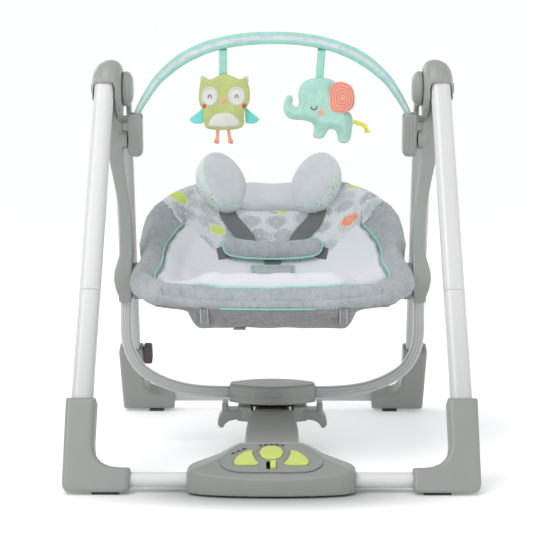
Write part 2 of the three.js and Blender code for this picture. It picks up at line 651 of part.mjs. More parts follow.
function toys() {
  const y = TOY_PIVOT.y - (650 - TOY_PIVOT.z) * Math.tan(THREE.MathUtils.degToRad(TOY_BAR_LEAN));
  const owlBody = flatToy(
    [[-32, 604], [0, 597], [32, 604], [36, 575], [42, 545], [34, 520], [0, 513], [-34, 520], [-42, 545], [-36, 575]],
    34, y, 22,
  );
  const owlLegs = [-11, 11].map((x) => boxBetween([x - 4, x + 4], [y - 4, y + 4], [492, 520]));
  const ribbon = boxBetween([-6, 6], [y - 1.5, y + 1.5], [595, RIBBON_TOP]);
  add("owl_toy", join(owlBody, ...owlLegs, ribbon).translate(-TOY_X, 0, 0), OWL);
  const elephantBody = flatToy(
    [[-14, 598], [12, 600], [34, 588], [40, 566], [62, 558], [66, 530], [58, 494], [40, 490], [34, 508], [12, 510],
      [8, 494], [-12, 492], [-18, 520], [-34, 536], [-58, 532], [-66, 546], [-56, 552], [-38, 552], [-28, 572]],
    36, y, 38,
  );
  const tail = boxBetween([60, 84], [y - 2, y + 2], [520, 526]);
  const ribbonTwo = boxBetween([-6, 6], [y - 1.5, y + 1.5], [592, RIBBON_TOP]);
  add("elephant_toy", join(elephantBody, tail, ribbonTwo).translate(TOY_X, 0, 0), ELEPHANT);
}

// ---------------------------------------------------------------- seat
// The seat surface: t runs from the front edge to the top of the back, u from the left rim to the right.
const SEAT_ROWS = [
  // t, centre y, centre z, rim x, rim y, rim z
  [0, -214, 271, 176, -198, 276],
  [0.15, -165, 253, 206, -150, 282],
  [0.35, -85, 230, 223, -72, 293],
  [0.5, -10, 227, 208, 0, 318],
  [0.62, 50, 248, 212, 58, 346],
  [0.75, 100, 302, 202, 108, 384],
  [0.88, 150, 364, 174, 150, 414],
  [1, 202, 430, 120, 192, 437],
];

function rowAt(t) {
  // Past the last row the back carries on in a straight line.
  const last = SEAT_ROWS.length - 2;
  let i = 0;
  while (i < last && SEAT_ROWS[i + 1][0] < t) i += 1;
  const a = SEAT_ROWS[i];
  const b = SEAT_ROWS[i + 1];
  const k = (t - a[0]) / (b[0] - a[0]);
  return a.map((value, column) => value + (b[column] - value) * k);
}

function seatPoint(t, u) {
  const [, cy, cz, rx, ry, rz] = rowAt(t);
  const side = Math.abs(u);
  return new THREE.Vector3(u * rx, cy + (ry - cy) * side ** 2, cz + (rz - cz) * side ** 2.6);
}

function seatNormal(t, u) {
  const step = 0.02;
  const along = seatPoint(t + step, u).sub(seatPoint(Math.max(t - step, 0), u));
  const across = seatPoint(t, u + step).sub(seatPoint(t, u - step));
  return across.cross(along).normalize();
}

// A closed pad between two offsets from the seat surface. upper and lower are functions of (a, b) in 0..1.
function seatPad(tRange, uRange, lower, upper, rows, columns) {
  const positions = [];
  const index = [];
  const place = (i, j, offsetOf) => {
    const a = i / rows;
    const b = j / columns;
    const t = tRange[0] + (tRange[1] - tRange[0]) * a;
    const u = uRange[0] + (uRange[1] - uRange[0]) * b;
    const p = seatPoint(t, u).addScaledVector(seatNormal(t, u), offsetOf(a, b));
    positions.push(p.x, p.y, p.z);
  };
  for (const offsetOf of [upper, lower]) {
    for (let i = 0; i <= rows; i += 1) {
      for (let j = 0; j <= columns; j += 1) place(i, j, offsetOf);
    }
  }
  const layer = (rows + 1) * (columns + 1);
  const at = (i, j, k) => k * layer + i * (columns + 1) + j;
  const quad = (a, b, c, d) => index.push(a, b, c, a, c, d);
  for (let i = 0; i < rows; i += 1) {
    for (let j = 0; j < columns; j += 1) {
      quad(at(i, j, 0), at(i, j + 1, 0), at(i + 1, j + 1, 0), at(i + 1, j, 0));
      quad(at(i, j, 1), at(i + 1, j, 1), at(i + 1, j + 1, 1), at(i, j + 1, 1));
    }
    quad(at(i, 0, 0), at(i + 1, 0, 0), at(i + 1, 0, 1), at(i, 0, 1));
    quad(at(i, columns, 0), at(i, columns, 1), at(i + 1, columns, 1), at(i + 1, columns, 0));
  }
  for (let j = 0; j < columns; j += 1) {
    quad(at(0, j, 0), at(0, j, 1), at(0, j + 1, 1), at(0, j + 1, 0));
    quad(at(rows, j, 0), at(rows, j + 1, 0), at(rows, j + 1, 1), at(rows, j, 1));
  }
  const geometry = new THREE.BufferGeometry();
  geometry.setAttribute("position", new THREE.Float32BufferAttribute(positions, 3));
  geometry.setIndex(index);
  geometry.computeVertexNormals();
  return geometry;
}

const flat = (offset) => () => offset;

const COVER_DEPTH = 13;
const LINER_TOP = 12;
const RING = { radius: 5, drop: 20, inset: 0.93, steps: 36 };

// The cover sags into a pouch under the middle of the seat.
function pouch(a, b) {
  const across = Math.max(0, 1 - ((b - 0.5) / 0.33) ** 2);
  const along = Math.max(0, 1 - ((a - 0.34) / 0.3) ** 2);
  return -COVER_DEPTH - 16 * across * along;
}

function ringPoint(t, u) {
  const p = seatPoint(t, u).addScaledVector(seatNormal(t, u), -RING.drop);
  return [p.x, p.y, p.z];
}

function seatFrame() {
  const along = [0.05, 0.16, 0.28, 0.4, 0.52, 0.64, 0.76, 0.86, 0.95];
  const across = [0.72, 0.4, 0, -0.4, -0.72];
  const points = [
    ...along.map((t) => ringPoint(t, RING.inset)),
    ...across.map((u) => ringPoint(0.975, u)),
    ...[...along].reverse().map((t) => ringPoint(t, -RING.inset)),
    ...[...across].reverse().map((u) => ringPoint(0.025, u)),
  ];
  const ring = barAlong(points, roundedRect(2 * RING.radius, 2 * RING.radius, 3.2, 1), RING.steps, true);
  const pieces = [ring];
  for (const side of [-1, 1]) {
    const ends = (near, far) => (side > 0 ? [near, far] : [-far, -near]);
    const disc = rodX(30, ...ends(214.6, 225.6), HINGE.y, HINGE.z, 28);
    const strut = boxBetween(ends(198, 216), [-12, 10], [258, 280]);
    const bore = rodX(9.4, ...ends(190, 240), HINGE.y, HINGE.z);
    pieces.push(cut(join(disc, strut), bore));
  }
  return join(...pieces);
}

// Two round lobes beside the head, joined by a low pad behind it.
function headPillow() {
  const base = LINER_TOP + 4;
  const lobe = (a, b) => base + 3 + 30 * Math.sin(Math.PI * a) * Math.sin(Math.PI * b);
  const right = seatPad([0.85, 1.07], [0.28, 0.82], flat(base), lobe, 5, 5);
  const middle = seatPad([0.89, 0.99], [-0.4, 0.4], flat(base + 1), flat(base + 9), 2, 6);
  return join(mirroredX(right), middle, right);
}

function seat() {
  add("seat_frame", seatFrame(), DARK_GREY);
  add("seat_cover", seatPad([0, 1], [-1, 1], pouch, flat(0), 10, 12), PLUSH);
  add("seat_liner", seatPad([0.03, 0.96], [-0.82, 0.82], flat(4), flat(LINER_TOP), 8, 10), LINER);
  add("head_pillow", headPillow(), PILLOW);
}

function harness() {
  const bands = [[-0.26, -0.17], [0.17, 0.26]];
  const low = flat(LINER_TOP + 3.5);
  const high = flat(LINER_TOP + 6.5);
  const straps = bands.map((u) => seatPad([0.72, 0.86], u, low, high, 4, 1));
  const crotch = seatPad([0.52, 0.75], [-0.09, 0.09], low, high, 4, 1);
  const waist = seatPad([0.73, 0.745], [-0.6, 0.6], low, high, 1, 8);
  add("harness_webbing", join(...straps, crotch, waist), WEBBING);
  const pad = seatPad([0.7, 0.785], [-0.42, 0.42], flat(LINER_TOP + 8), flat(LINER_TOP + 21), 2, 6);
  const buckle = seatPad([0.6, 0.66], [-0.12, 0.12], flat(LINER_TOP + 8), flat(LINER_TOP + 18), 1, 1);
  add("waist_pad", pad, PLUSH);
  add("harness_buckle", buckle, DARK_GREY);
}

// ---------------------------------------------------------------- the swing
frontLegs();
feet();
crossTubes();
hubs();
rearFrameParts();
swingArms();
swingTubes();
magnetHousing();
driveNeck();
coilTower();
controlUnit();
toyBar();
toys();
seat();
harness();

export default swing;
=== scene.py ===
"""A portable baby swing: fabric, toys, moulded shells and every material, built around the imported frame.

Metres, +Z up, the front faces -Y. Lengths written in millimetres are turned into metres by at() or MM.
"""
import json
import math

import bpy
import numpy as np
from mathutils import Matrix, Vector, noise
from mathutils.kdtree import KDTree


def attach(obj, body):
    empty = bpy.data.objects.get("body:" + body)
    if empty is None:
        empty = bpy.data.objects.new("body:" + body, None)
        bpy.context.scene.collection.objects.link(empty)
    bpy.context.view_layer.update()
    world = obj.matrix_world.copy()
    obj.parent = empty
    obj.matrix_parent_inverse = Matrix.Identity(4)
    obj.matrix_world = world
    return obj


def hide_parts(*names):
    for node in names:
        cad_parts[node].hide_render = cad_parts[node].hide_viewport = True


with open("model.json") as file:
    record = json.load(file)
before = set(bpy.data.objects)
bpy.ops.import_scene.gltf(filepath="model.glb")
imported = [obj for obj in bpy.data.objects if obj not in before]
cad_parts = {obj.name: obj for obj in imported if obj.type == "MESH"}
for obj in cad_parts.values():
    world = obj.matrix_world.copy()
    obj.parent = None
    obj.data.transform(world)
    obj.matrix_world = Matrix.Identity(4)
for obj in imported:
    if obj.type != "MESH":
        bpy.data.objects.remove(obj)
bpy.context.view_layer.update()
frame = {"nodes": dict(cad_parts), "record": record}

MM = 0.001
SIDES = (("left", -1), ("right", 1))
JOINTS = {joint["name"]: joint for joint in frame["record"]["behaviour"]["joints"]}
HUB = Vector(JOINTS["frame_fold"]["pos_m"])


def at(x, y, z):
    """A point in metres from millimetres, with y measured from the hub axis."""
    return Vector((x * MM, y * MM + HUB.y, z * MM))


def linked(name, data):
    """A new object in the scene."""
    piece = bpy.data.objects.new(name, data)
    bpy.context.collection.objects.link(piece)
    return piece


# ------------------------------------------------------------------ camera, lights, floor
CAMERA_PLACE = (9, -2330.5, 457.5)
CAMERA_TURN = (math.pi / 2 - 0.071, 0, 0.008)
CAMERA_LENS = 96.74
CAMERA_SENSOR = 36


def make_camera():
    data = bpy.data.cameras.new("camera")
    data.lens = CAMERA_LENS
    data.sensor_width = CAMERA_SENSOR
    camera = linked("camera", data)
    camera.location = at(*CAMERA_PLACE)
    camera.rotation_euler = CAMERA_TURN
    bpy.context.scene.camera = camera


# Strength of the room's light, by how high it comes from: full at the horizon, dimmer overhead.
ROOM_LIGHT = (("From Min", 0.2), ("From Max", 0.6), ("To Min", 1.0), ("To Max", 0.66))
ROOM_COLOUR = (0.992, 0.995, 1, 1)
SUN_POWER = 1.15
SUN_SPREAD = math.radians(35)
SUN_AIM = (0.55, 0.6, -1.25)
# Lamps: name, place, size (m), power (W). All of them point at the middle of the swing.
LAMPS = (
    ("key", (-1.7, -1.9, 2.0), 1.2, 7),
    ("fill", (2.2, -1.4, 1.2), 1.4, 3),
    ("back", (-1.3, 2.3, 1.7), 1.4, 5),
)
LAMP_TARGET = Vector((0, 0, 0.3))


def make_lamp(name, kind, aim, place=(0, 0, 0), **settings):
    """A lamp that shines along aim."""
    data = bpy.data.lights.new(name, kind)
    for key, value in settings.items():
        setattr(data, key, value)
    lamp = linked(name, data)
    lamp.location = place
    lamp.rotation_euler = Vector(aim).to_track_quat("-Z", "Y").to_euler()


def make_studio():
    """A bright, even room, one soft sun and three large lamps."""
    world = bpy.data.worlds.new("studio")
    world.use_nodes = True
    tree = world.node_tree
    background = tree.nodes["Background"]
    parts = tree.nodes.new("ShaderNodeSeparateXYZ")
    tree.links.new(tree.nodes.new("ShaderNodeTexCoord").outputs["Generated"], parts.inputs[0])
    rise = tree.nodes.new("ShaderNodeMapRange")
    rise.interpolation_type = "SMOOTHSTEP"
    tree.links.new(parts.outputs["Z"], rise.inputs["Value"])
    for socket, value in ROOM_LIGHT:
        rise.inputs[socket].default_value = value
    tree.links.new(rise.outputs["Result"], background.inputs["Strength"])
    background.inputs["Color"].default_value = ROOM_COLOUR
    bpy.context.scene.world = world
    make_lamp("sun", "SUN", SUN_AIM, energy=SUN_POWER, angle=SUN_SPREAD)
    for name, place, size, power in LAMPS:
        make_lamp(name, "AREA", LAMP_TARGET - Vector(place), place, shape="DISK", size=size, energy=power)
    bpy.context.scene.view_settings.view_transform = "Standard"


FLOOR_RADIUS = 9.0
FLOOR_GLOW = 0.24
# The soft shade on the floor round the front bar: its middle line (mm), how long it is across, as a share,
# where it fades (m), and how strong it is.
POOL = {"y": -352, "stretch": 0.42, "reach": (0.03, 0.14), "depth": 0.8}


def make_floor():
    around = np.linspace(0, 2 * math.pi, 97)[:-1]
    points = [(FLOOR_RADIUS * math.cos(a), FLOOR_RADIUS * math.sin(a), 0) for a in around]
    data = bpy.data.meshes.new("floor")
    data.from_pydata(points, [], [list(range(len(points)))])
    floor = linked("floor", data)
    s = Surface("floor_paper", (0.86, 0.865, 0.87), 0.6)
    s.shader.inputs["Emission Color"].default_value = (1, 1, 1, 1)
    s.vary(3.0, 0.01)
    x, y, _ = s.axes(s.place)
    across = s.math("MULTIPLY", x, POOL["stretch"])
    along = s.math("SUBTRACT", y, at(0, POOL["y"], 0).y)
    reach = s.math("SQRT", s.math("MULTIPLY_ADD", across, across, s.math("MULTIPLY", along, along)))
    open_floor = s.ramp(reach, *POOL["reach"])
    s.paint(s.math("MULTIPLY_ADD", open_floor, -POOL["depth"], POOL["depth"]), (0.3, 0.3, 0.3))
    s.feed(s.shader.inputs["Emission Strength"], s.math("MULTIPLY", open_floor, FLOOR_GLOW))
    data.materials.append(s.material)


# ------------------------------------------------------------------ materials
def linear(red, green, blue):
    """A linear colour from 0-255 display values."""
    shares = (v / 255 for v in (red, green, blue))
    return tuple(((v + 0.055) / 1.055) ** 2.4 if v > 0.04 else v / 12.92 for v in shares)


# Heights (m) between which the shade near the floor fades out.
NEAR_FLOOR = (0.06, 0.34)


class Surface:
    """One procedural material, built up step by step in object space."""

    def __init__(self, name, colour, roughness, **sockets):
        self.material = bpy.data.materials.new(name)
        self.material.use_nodes = True
        self.tree = self.material.node_tree
        self.shader = self.tree.nodes["Principled BSDF"]
        self.material.diffuse_color = (*colour, 1)
        self.shader.inputs["Base Color"].default_value = (*colour, 1)
        self.shader.inputs["Roughness"].default_value = roughness
        for socket, value in sockets.items():
            socket = socket.replace("_", " ").title().replace("Ior", "IOR")
            self.shader.inputs[socket].default_value = value
        self.place = self.add("ShaderNodeTexCoord").outputs["Object"]
        self.colour = colour
        self.colour_out = None
        self.height_out = None

    def feed(self, socket, value):
        """Joins an output to a socket, or sets the socket to a plain value."""
        if isinstance(value, bpy.types.NodeSocket):
            self.tree.links.new(value, socket)
        else:
            socket.default_value = value

    def add(self, kind, inputs=None, **settings):
        """A node with its settings, and what goes into its sockets."""
        node = self.tree.nodes.new(kind)
        for key, value in settings.items():
            setattr(node, key, value)
        for socket, value in (inputs or {}).items():
            self.feed(node.inputs[socket], value)
        return node

    def axes(self, source):
        """The x, y and z of a place."""
        return self.add("ShaderNodeSeparateXYZ", {0: source}).outputs

    def away(self, source, place):
        """The way from a place to a source."""
        return self.add("ShaderNodeVectorMath", {0: source, 1: place}, operation="SUBTRACT").outputs[0]

    def noise(self, scale, detail=3, roughness=0.55, stretch=None):
        source = self.place
        if stretch:
            source = self.add("ShaderNodeMapping", {"Scale": stretch, "Vector": source}).outputs["Vector"]
        inputs = {"Scale": scale, "Detail": detail, "Roughness": roughness, "Vector": source}
        return self.add("ShaderNodeTexNoise", inputs).outputs["Fac"]

    def wave(self, direction, scale, distortion=0.0):
        """Parallel threads."""
        inputs = {"Scale": scale, "Distortion": distortion, "Vector": self.place}
        return self.add("ShaderNodeTexWave", inputs, bands_direction=direction).outputs["Fac"]

    def cells(self, source, scale, randomness, **settings):
        inputs = {"Scale": scale, "Randomness": randomness, "Vector": source}
        return self.add("ShaderNodeTexVoronoi", inputs, feature="F1", **settings).outputs

    def math(self, operation, *values):
        return self.add("ShaderNodeMath", dict(enumerate(values)), operation=operation).outputs[0]

    def ramp(self, factor, low, high):
        """0 below low, 1 above high."""
        inputs = {"From Min": low, "From Max": high, "Value": factor}
        return self.add("ShaderNodeMapRange", inputs, interpolation_type="SMOOTHSTEP").outputs["Result"]

    def opposite(self, factor):
        return self.math("SUBTRACT", 1.0, factor)

    def blend(self, factor, first, second):
        """Makes the colour a blend of two."""
        node = self.add("ShaderNodeMix", {"Factor": factor}, data_type="RGBA")
        sockets = {socket.name: socket for socket in node.inputs if socket.type == "RGBA"}
        for key, colour in (("A", first), ("B", second)):
            self.feed(sockets[key], (*colour, 1) if isinstance(colour, tuple) else colour)
        self.colour_out = [out for out in node.outputs if out.type == "RGBA"][0]
        self.feed(self.shader.inputs["Base Color"], self.colour_out)

    def paint(self, factor, colour):
        """Lays a colour over what is there, where factor is 1."""
        self.blend(factor, self.colour if self.colour_out is None else self.colour_out, colour)

    def vary(self, scale, amount, detail=3, stretch=None):
        """Lightens and darkens the colour in soft patches."""
        patches = self.ramp(self.noise(scale, detail, stretch=stretch), 0.3, 0.7)
        darker = tuple(c * (1 - amount) for c in self.colour)
        lighter = tuple(min(1, c * (1 + amount)) for c in self.colour)
        self.blend(patches, darker, lighter)

    def rough(self, scale, low, high):
        inputs = {"To Min": low, "To Max": high, "Value": self.noise(scale)}
        self.feed(self.shader.inputs["Roughness"], self.add("ShaderNodeMapRange", inputs).outputs["Result"])

    def raise_by(self, factor, weight=1.0):
        """Adds a height to the bump."""
        scaled = self.math("MULTIPLY", factor, weight)
        self.height_out = scaled if self.height_out is None else self.math("ADD", self.height_out, scaled)

    def bump(self, strength, distance):
        inputs = {"Strength": strength, "Distance": distance, "Height": self.height_out}
        self.feed(self.shader.inputs["Normal"], self.add("ShaderNodeBump", inputs).outputs["Normal"])

    def shade_low(self, amount):
        """Darkens what is near the floor."""
        near = self.opposite(self.ramp(self.axes(self.place)["Z"], *NEAR_FLOOR))
        self.paint(self.math("MULTIPLY", near, amount), (0, 0, 0))

    def worn_edges(self, amount):
        edge = self.ramp(self.add("ShaderNodeNewGeometry").outputs["Pointiness"], 0.535, 0.62)
        speck = self.ramp(self.noise(160, 4), 0.42, 0.62)
        lighter = tuple(min(1, c * (1 + amount) + 0.02) for c in self.colour)
        self.paint(self.math("MULTIPLY", edge, speck), lighter)


def moulded_plastic(name, colour, roughness=0.34):
    s = Surface(name, colour, roughness, specular_ior_level=0.45)
    s.vary(7, 0.03)
    s.shade_low(0.13)
    s.worn_edges(0.12)
    s.rough(26, roughness - 0.05, roughness + 0.08)
    s.raise_by(s.noise(1500, 2))
    s.raise_by(s.noise(240, 2), 0.4)
    s.bump(0.025, 0.0006)
    return s


def painted_tube(name, colour, low=0.0):
    s = Surface(name, colour, 0.3, specular_ior_level=0.5, coat_weight=0.3, coat_roughness=0.25)
    s.vary(2.5, 0.012, 2)
    s.shade_low(low)
    s.rough(14, 0.29, 0.34)
    s.raise_by(s.noise(900, 2))
    s.bump(0.03, 0.0003)
    return s


def bright_metal(name, colour, roughness):
    s = Surface(name, colour, roughness, metallic=1.0)
    s.vary(40, 0.06)
    s.rough(120, roughness - 0.06, roughness + 0.1)
    s.raise_by(s.noise(500, 3, stretch=(1, 1, 8)))
    s.bump(0.08, 0.0003)
    return s


def plush(name, colour, pile=1.0, patch=0.1):
    """Short pile: crushed patches, brushed streaks, fine fibres and a sheen."""
    s = Surface(name, colour, 0.95, specular_ior_level=0.12, sheen_weight=0.4, sheen_roughness=0.45)
    s.vary(22, patch, 5, stretch=(1, 1, 1.6))
    fibres = s.ramp(s.noise(430, 3, 0.7), 0.38, 0.68)
    s.paint(s.math("MULTIPLY", fibres, 0.55 * pile), tuple(min(1, c * 1.3) for c in colour))
    nap = s.ramp(s.noise(120, 5, 0.75, stretch=(1, 1, 0.4)), 0.44, 0.7)
    s.paint(s.math("MULTIPLY", nap, 0.55 * pile), tuple(c * 0.66 for c in colour))
    s.raise_by(s.noise(900, 2, 0.7), 1.0)
    s.raise_by(s.noise(190, 4), 2.6)
    s.bump(0.75 * pile, 0.002)
    return s


def jersey(name, colour):
    """Fine knit: rows of small stitches and a little mottling."""
    s = Surface(name, colour, 0.85, specular_ior_level=0.2, sheen_weight=0.2, sheen_roughness=0.5)
    s.vary(40, 0.035, 4)
    s.raise_by(s.wave("X", 330, 1.2), 0.5)
    s.raise_by(s.wave("Z", 260, 1.2), 0.5)
    s.raise_by(s.noise(110, 4), 1.6)
    s.bump(0.3, 0.0008)
    return s


def woven(name, colour, pitch=420):
    """Plain weave in two thread directions."""
    s = Surface(name, colour, 0.8, specular_ior_level=0.25, sheen_weight=0.15)
    s.vary(60, 0.06, 4)
    weave = s.math("MULTIPLY", s.wave("DIAGONAL", pitch, 0.4), s.wave("Z", pitch, 0.4))
    s.paint(s.math("MULTIPLY", weave, 0.35), tuple(c * 0.72 for c in colour))
    s.raise_by(weave)
    s.bump(0.4, 0.0006)
    return s


def striped_band(name, colour):
    """The toy bar's woven band, with pale lilac figures."""
    s = woven(name, colour, 500)
    figures = s.ramp(s.noise(95, 2, 0.4), 0.56, 0.62)
    s.paint(s.math("MULTIPLY", figures, 0.4), linear(190, 178, 200))
    return s


def grained(name, colour, roughness, patches, grain, depth, gloss=0.5):
    """Rubber and matt buttons: soft patches and a fine grain."""
    s = Surface(name, colour, roughness, specular_ior_level=gloss)
    s.vary(*patches)
    s.raise_by(s.noise(*grain))
    s.bump(depth, 0.0005)
    return s


def board(name, colour):
    s = Surface(name, colour, 0.5)
    s.vary(220, 0.3, 2)
    return s


def wound_wire(name, colour):
    s = Surface(name, colour, 0.5, metallic=0.6)
    s.vary(300, 0.15)
    s.raise_by(s.wave("Z", 700))
    s.bump(0.5, 0.0006)
    return s


WHITE_PAD = (214, 217, 222)
MINT = (158, 213, 198)
LIME_PRINT = (196, 214, 70)
ORANGE_PRINT = (233, 140, 92)
DOT_ORANGE = (216, 118, 84)
PRINT_GREY = (160, 168, 173)
PRINT_GROUND = (205, 209, 213)
INK_EDGE = 0.0008
SPOKES = 9


def disc_mask(s, place, radius):
    """1 inside a circle of the uv plane (metres), 0 outside; then the way from its centre, and how far."""
    away = s.away(s.uv, (*place, 0))
    distance = s.add("ShaderNodeVectorMath", {0: away}, operation="LENGTH").outputs["Value"]
    return s.opposite(s.ramp(distance, radius - INK_EDGE, radius + INK_EDGE)), away, distance


def citrus(s, place, radius, colour, strength):
    """A printed round slice: a thin ring, and a disc broken by spokes."""
    inside, away, distance = disc_mask(s, place, radius)
    x, y, _ = s.axes(away)
    turn = s.math("MULTIPLY", s.math("ARCTAN2", x, y), SPOKES / 2)
    spoke = s.math("ABSOLUTE", s.math("SINE", turn))
    segment = s.ramp(s.math("MULTIPLY", spoke, distance), 0.0005, 0.0012)
    ring = s.ramp(s.math("ABSOLUTE", s.math("SUBTRACT", distance, radius * 0.88)), 0.0003, 0.0009)
    ink = s.math("MULTIPLY", s.math("MULTIPLY", segment, ring), inside)
    s.paint(s.math("MULTIPLY", ink, strength), linear(*colour))


# Coloured slices on the backrest: across, along, radius (mm), ink. Grey slices fill the cloth between them.
BACK_PRINTS = (
    (-164, 463, 18, "lime"), (146, 531, 18, "lime"), (76, 455, 16, "lime"), (-94, 414, 13, "lime"),
    (131, 418, 16, "orange"), (-20, 384, 15, "lime"), (-60, 526, 17, "orange"), (18, 496, 15, "lime"),
)
INKS = {"lime": (LIME_PRINT, 0.95), "orange": (ORANGE_PRINT, 0.9)}
PRINT_PITCH = 0.041
# Where the print ends on the liner: height along the seat, and the dip in the middle (mm).
PRINT_DIP = {"line": 397, "depth": 38, "inner": 70, "outer": 152}


def grey_slices(s):
    """Round grey slices of changing size, close together, with pale spokes and a pale inner ring."""
    cells = s.cells(s.uv, 1 / PRINT_PITCH, 0.42, voronoi_dimensions="2D")
    x, y, _ = s.axes(s.away(s.uv, cells["Position"]))
    size, start, tone = s.add("ShaderNodeSeparateColor", {0: cells["Color"]}).outputs
    share = s.math("DIVIDE", cells["Distance"], s.math("MULTIPLY_ADD", size, 0.12, 0.4))
    inside = s.opposite(s.ramp(share, 0.95, 1.02))
    turn = s.math("MULTIPLY_ADD", s.math("ARCTAN2", x, y), 5.0, s.math("MULTIPLY", start, 6.0))
    spoke = s.ramp(s.math("ABSOLUTE", s.math("SINE", turn)), 0.08, 0.26)
    ring = s.ramp(s.math("ABSOLUTE", s.math("SUBTRACT", share, 0.84)), 0.025, 0.06)
    core = s.ramp(share, 0.1, 0.16)
    ink = s.math("MULTIPLY", s.math("MULTIPLY", spoke, ring), s.math("MULTIPLY", inside, core))
    depth = s.math("MULTIPLY_ADD", tone, 0.45, 0.5)
    s.paint(s.math("MULTIPLY", ink, depth), linear(*PRINT_GREY))


def printed_jersey(name, ground, edged=False):
    """Slices on pale cloth; edged leaves the cloth plain below the curved edge of the print."""
    s = jersey(name, ground)
    s.uv = s.add("ShaderNodeUVMap", uv_map="pattern").outputs["UV"]
    grey_slices(s)
    for across, along, radius, ink in BACK_PRINTS:
        place = (across * MM, along * MM)
        s.paint(disc_mask(s, place, (radius + 2) * MM)[0], ground)
        citrus(s, place, radius * MM, *INKS[ink])
    if edged:
        x, y, _ = s.axes(s.uv)
        line, depth, inner, outer = (PRINT_DIP[k] * MM for k in ("line", "depth", "inner", "outer"))
        dip = s.ramp(s.math("ABSOLUTE", x), inner, outer)
        line = s.math("MULTIPLY_ADD", dip, depth, line - depth)
        above = s.ramp(s.math("SUBTRACT", y, line), -0.0004, 0.0004)
        s.paint(s.opposite(above), linear(*WHITE_PAD))
    return s


# The dots' colours, and where each one's share of the dots begins.
DOT_INKS = ((0, MINT), (0.3, LIME_PRINT), (0.55, DOT_ORANGE), (0.8, MINT))


def confetti_jersey(name, ground):
    """Small pastel dots scattered over a pale knit."""
    s = jersey(name, ground)
    cells = s.cells(s.place, 150, 0.75)
    dot = s.opposite(s.ramp(cells["Distance"], 0.25, 0.31))
    pick = s.add("ShaderNodeSeparateColor", {0: cells["Color"]}).outputs[0]
    inks = s.add("ShaderNodeValToRGB", {"Fac": pick})
    inks.color_ramp.interpolation = "CONSTANT"
    elements = inks.color_ramp.elements
    elements[1].position = DOT_INKS[1][0]
    for stop, _ in DOT_INKS[2:]:
        elements.new(stop)
    for element, (_, ink) in zip(elements, DOT_INKS):
        element.color = (*linear(*ink), 1)
    s.paint(s.math("MULTIPLY", dot, 0.85), inks.outputs["Color"])
    return s


MATERIALS = {}
# Every material: its maker, its colour (0-255), and the maker's own settings.
FINISHES = {
    "grey_plastic": (moulded_plastic, (150, 154, 150)),
    "dark_grey_plastic": (moulded_plastic, (128, 132, 129), 0.5),
    "brown_clip": (moulded_plastic, (74, 58, 54), 0.6),
    "icon_ink": (moulded_plastic, (34, 34, 36), 0.6),
    "shadow_gap": (moulded_plastic, (22, 22, 23), 0.8),
    "light_tube": (painted_tube, (208, 208, 208), 0.2),
    # The front cross tube's copy of the white tube paint, without the painted shade near the floor and a
    # touch lighter: painted light, to make up for the shade painted on the floor under it.
    "floor_tube": (painted_tube, (212, 212, 212)),
    "grey_tube": (painted_tube, (182, 182, 183)),
    "swing_tube": (painted_tube, (196, 196, 196), 0.24),
    "steel": (bright_metal, (206, 208, 210), 0.28),
    "rubber": (grained, (62, 64, 63), 0.85, (60, 0.1), (700, 3), 0.3),
    "lime_button": (grained, (198, 208, 114), 0.45, (40, 0.03), (1500, 2), 0.08, 0.4),
    "circuit_board": (board, (36, 108, 66)),
    # Copper winding, its colour darkened far below copper's own as painted shade for the slot it sits in.
    "copper_coil": (wound_wire, (58, 40, 32)),
    "liner_fabric": (jersey, WHITE_PAD),
    "pillow_fabric": (jersey, (199, 202, 208)),
    "back_print": (printed_jersey, PRINT_GROUND),
    "liner_print": (printed_jersey, PRINT_GROUND, True),
    "pillow_band": (confetti_jersey, (214, 224, 224)),
    "seat_plush": (plush, (170, 176, 180)),
    "plush_shade": (plush, (140, 147, 152)),
    # A darker copy of the seat plush for the pouch and the underside: painted shade.
    "pouch_plush": (plush, (142, 146, 149)),
    "owl_plush": (plush, (183, 194, 126), 0.6, 0.05),
    "elephant_plush": (plush, (168, 210, 197), 0.6, 0.05),
    "white_felt": (plush, (214, 213, 208), 0.4, 0.03),
    "coral_felt": (plush, (233, 160, 142), 0.4, 0.05),
    "red_felt": (plush, (190, 96, 84), 0.4, 0.05),
    "teal_felt": (plush, (120, 212, 205), 0.4, 0.05),
    "bar_stripe": (striped_band, (212, 215, 223)),
    "mint_fabric": (woven, MINT),
    "webbing": (woven, (106, 110, 113)),
    "pale_piping": (woven, (196, 224, 216), 700),
    "ribbon_tack": (woven, (52, 158, 150), 700),
    "yellow_cord": (woven, (240, 232, 92), 800),
    "pale_thread": (woven, (232, 226, 222), 900),
    "coral_thread": (woven, (214, 128, 108), 900),
    "dark_thread": (woven, (84, 92, 98), 900),
}


def make_materials():
    for name, (maker, colour, *settings) in FINISHES.items():
        MATERIALS[name] = maker(name, linear(*colour), *settings).material


# ------------------------------------------------------------------ mesh building
def make_object(name, points, faces, material):
    data = bpy.data.meshes.new(name)
    data.from_pydata([tuple(p) for p in points], [], faces)
    data.validate()
    data.materials.append(MATERIALS[material])
    data.shade_smooth()
    return linked(name, data)


def baked(piece):
    """Applies every modifier of a piece."""
    graph = bpy.context.evaluated_depsgraph_get()
    data = bpy.data.meshes.new_from_object(piece.evaluated_get(graph))
    piece.modifiers.clear()
    piece.data = data
    return piece


def modify(piece, kind, **settings):
    modifier = piece.modifiers.new(kind.lower(), kind)
    for key, value in settings.items():
        setattr(modifier, key, value)
    return modifier


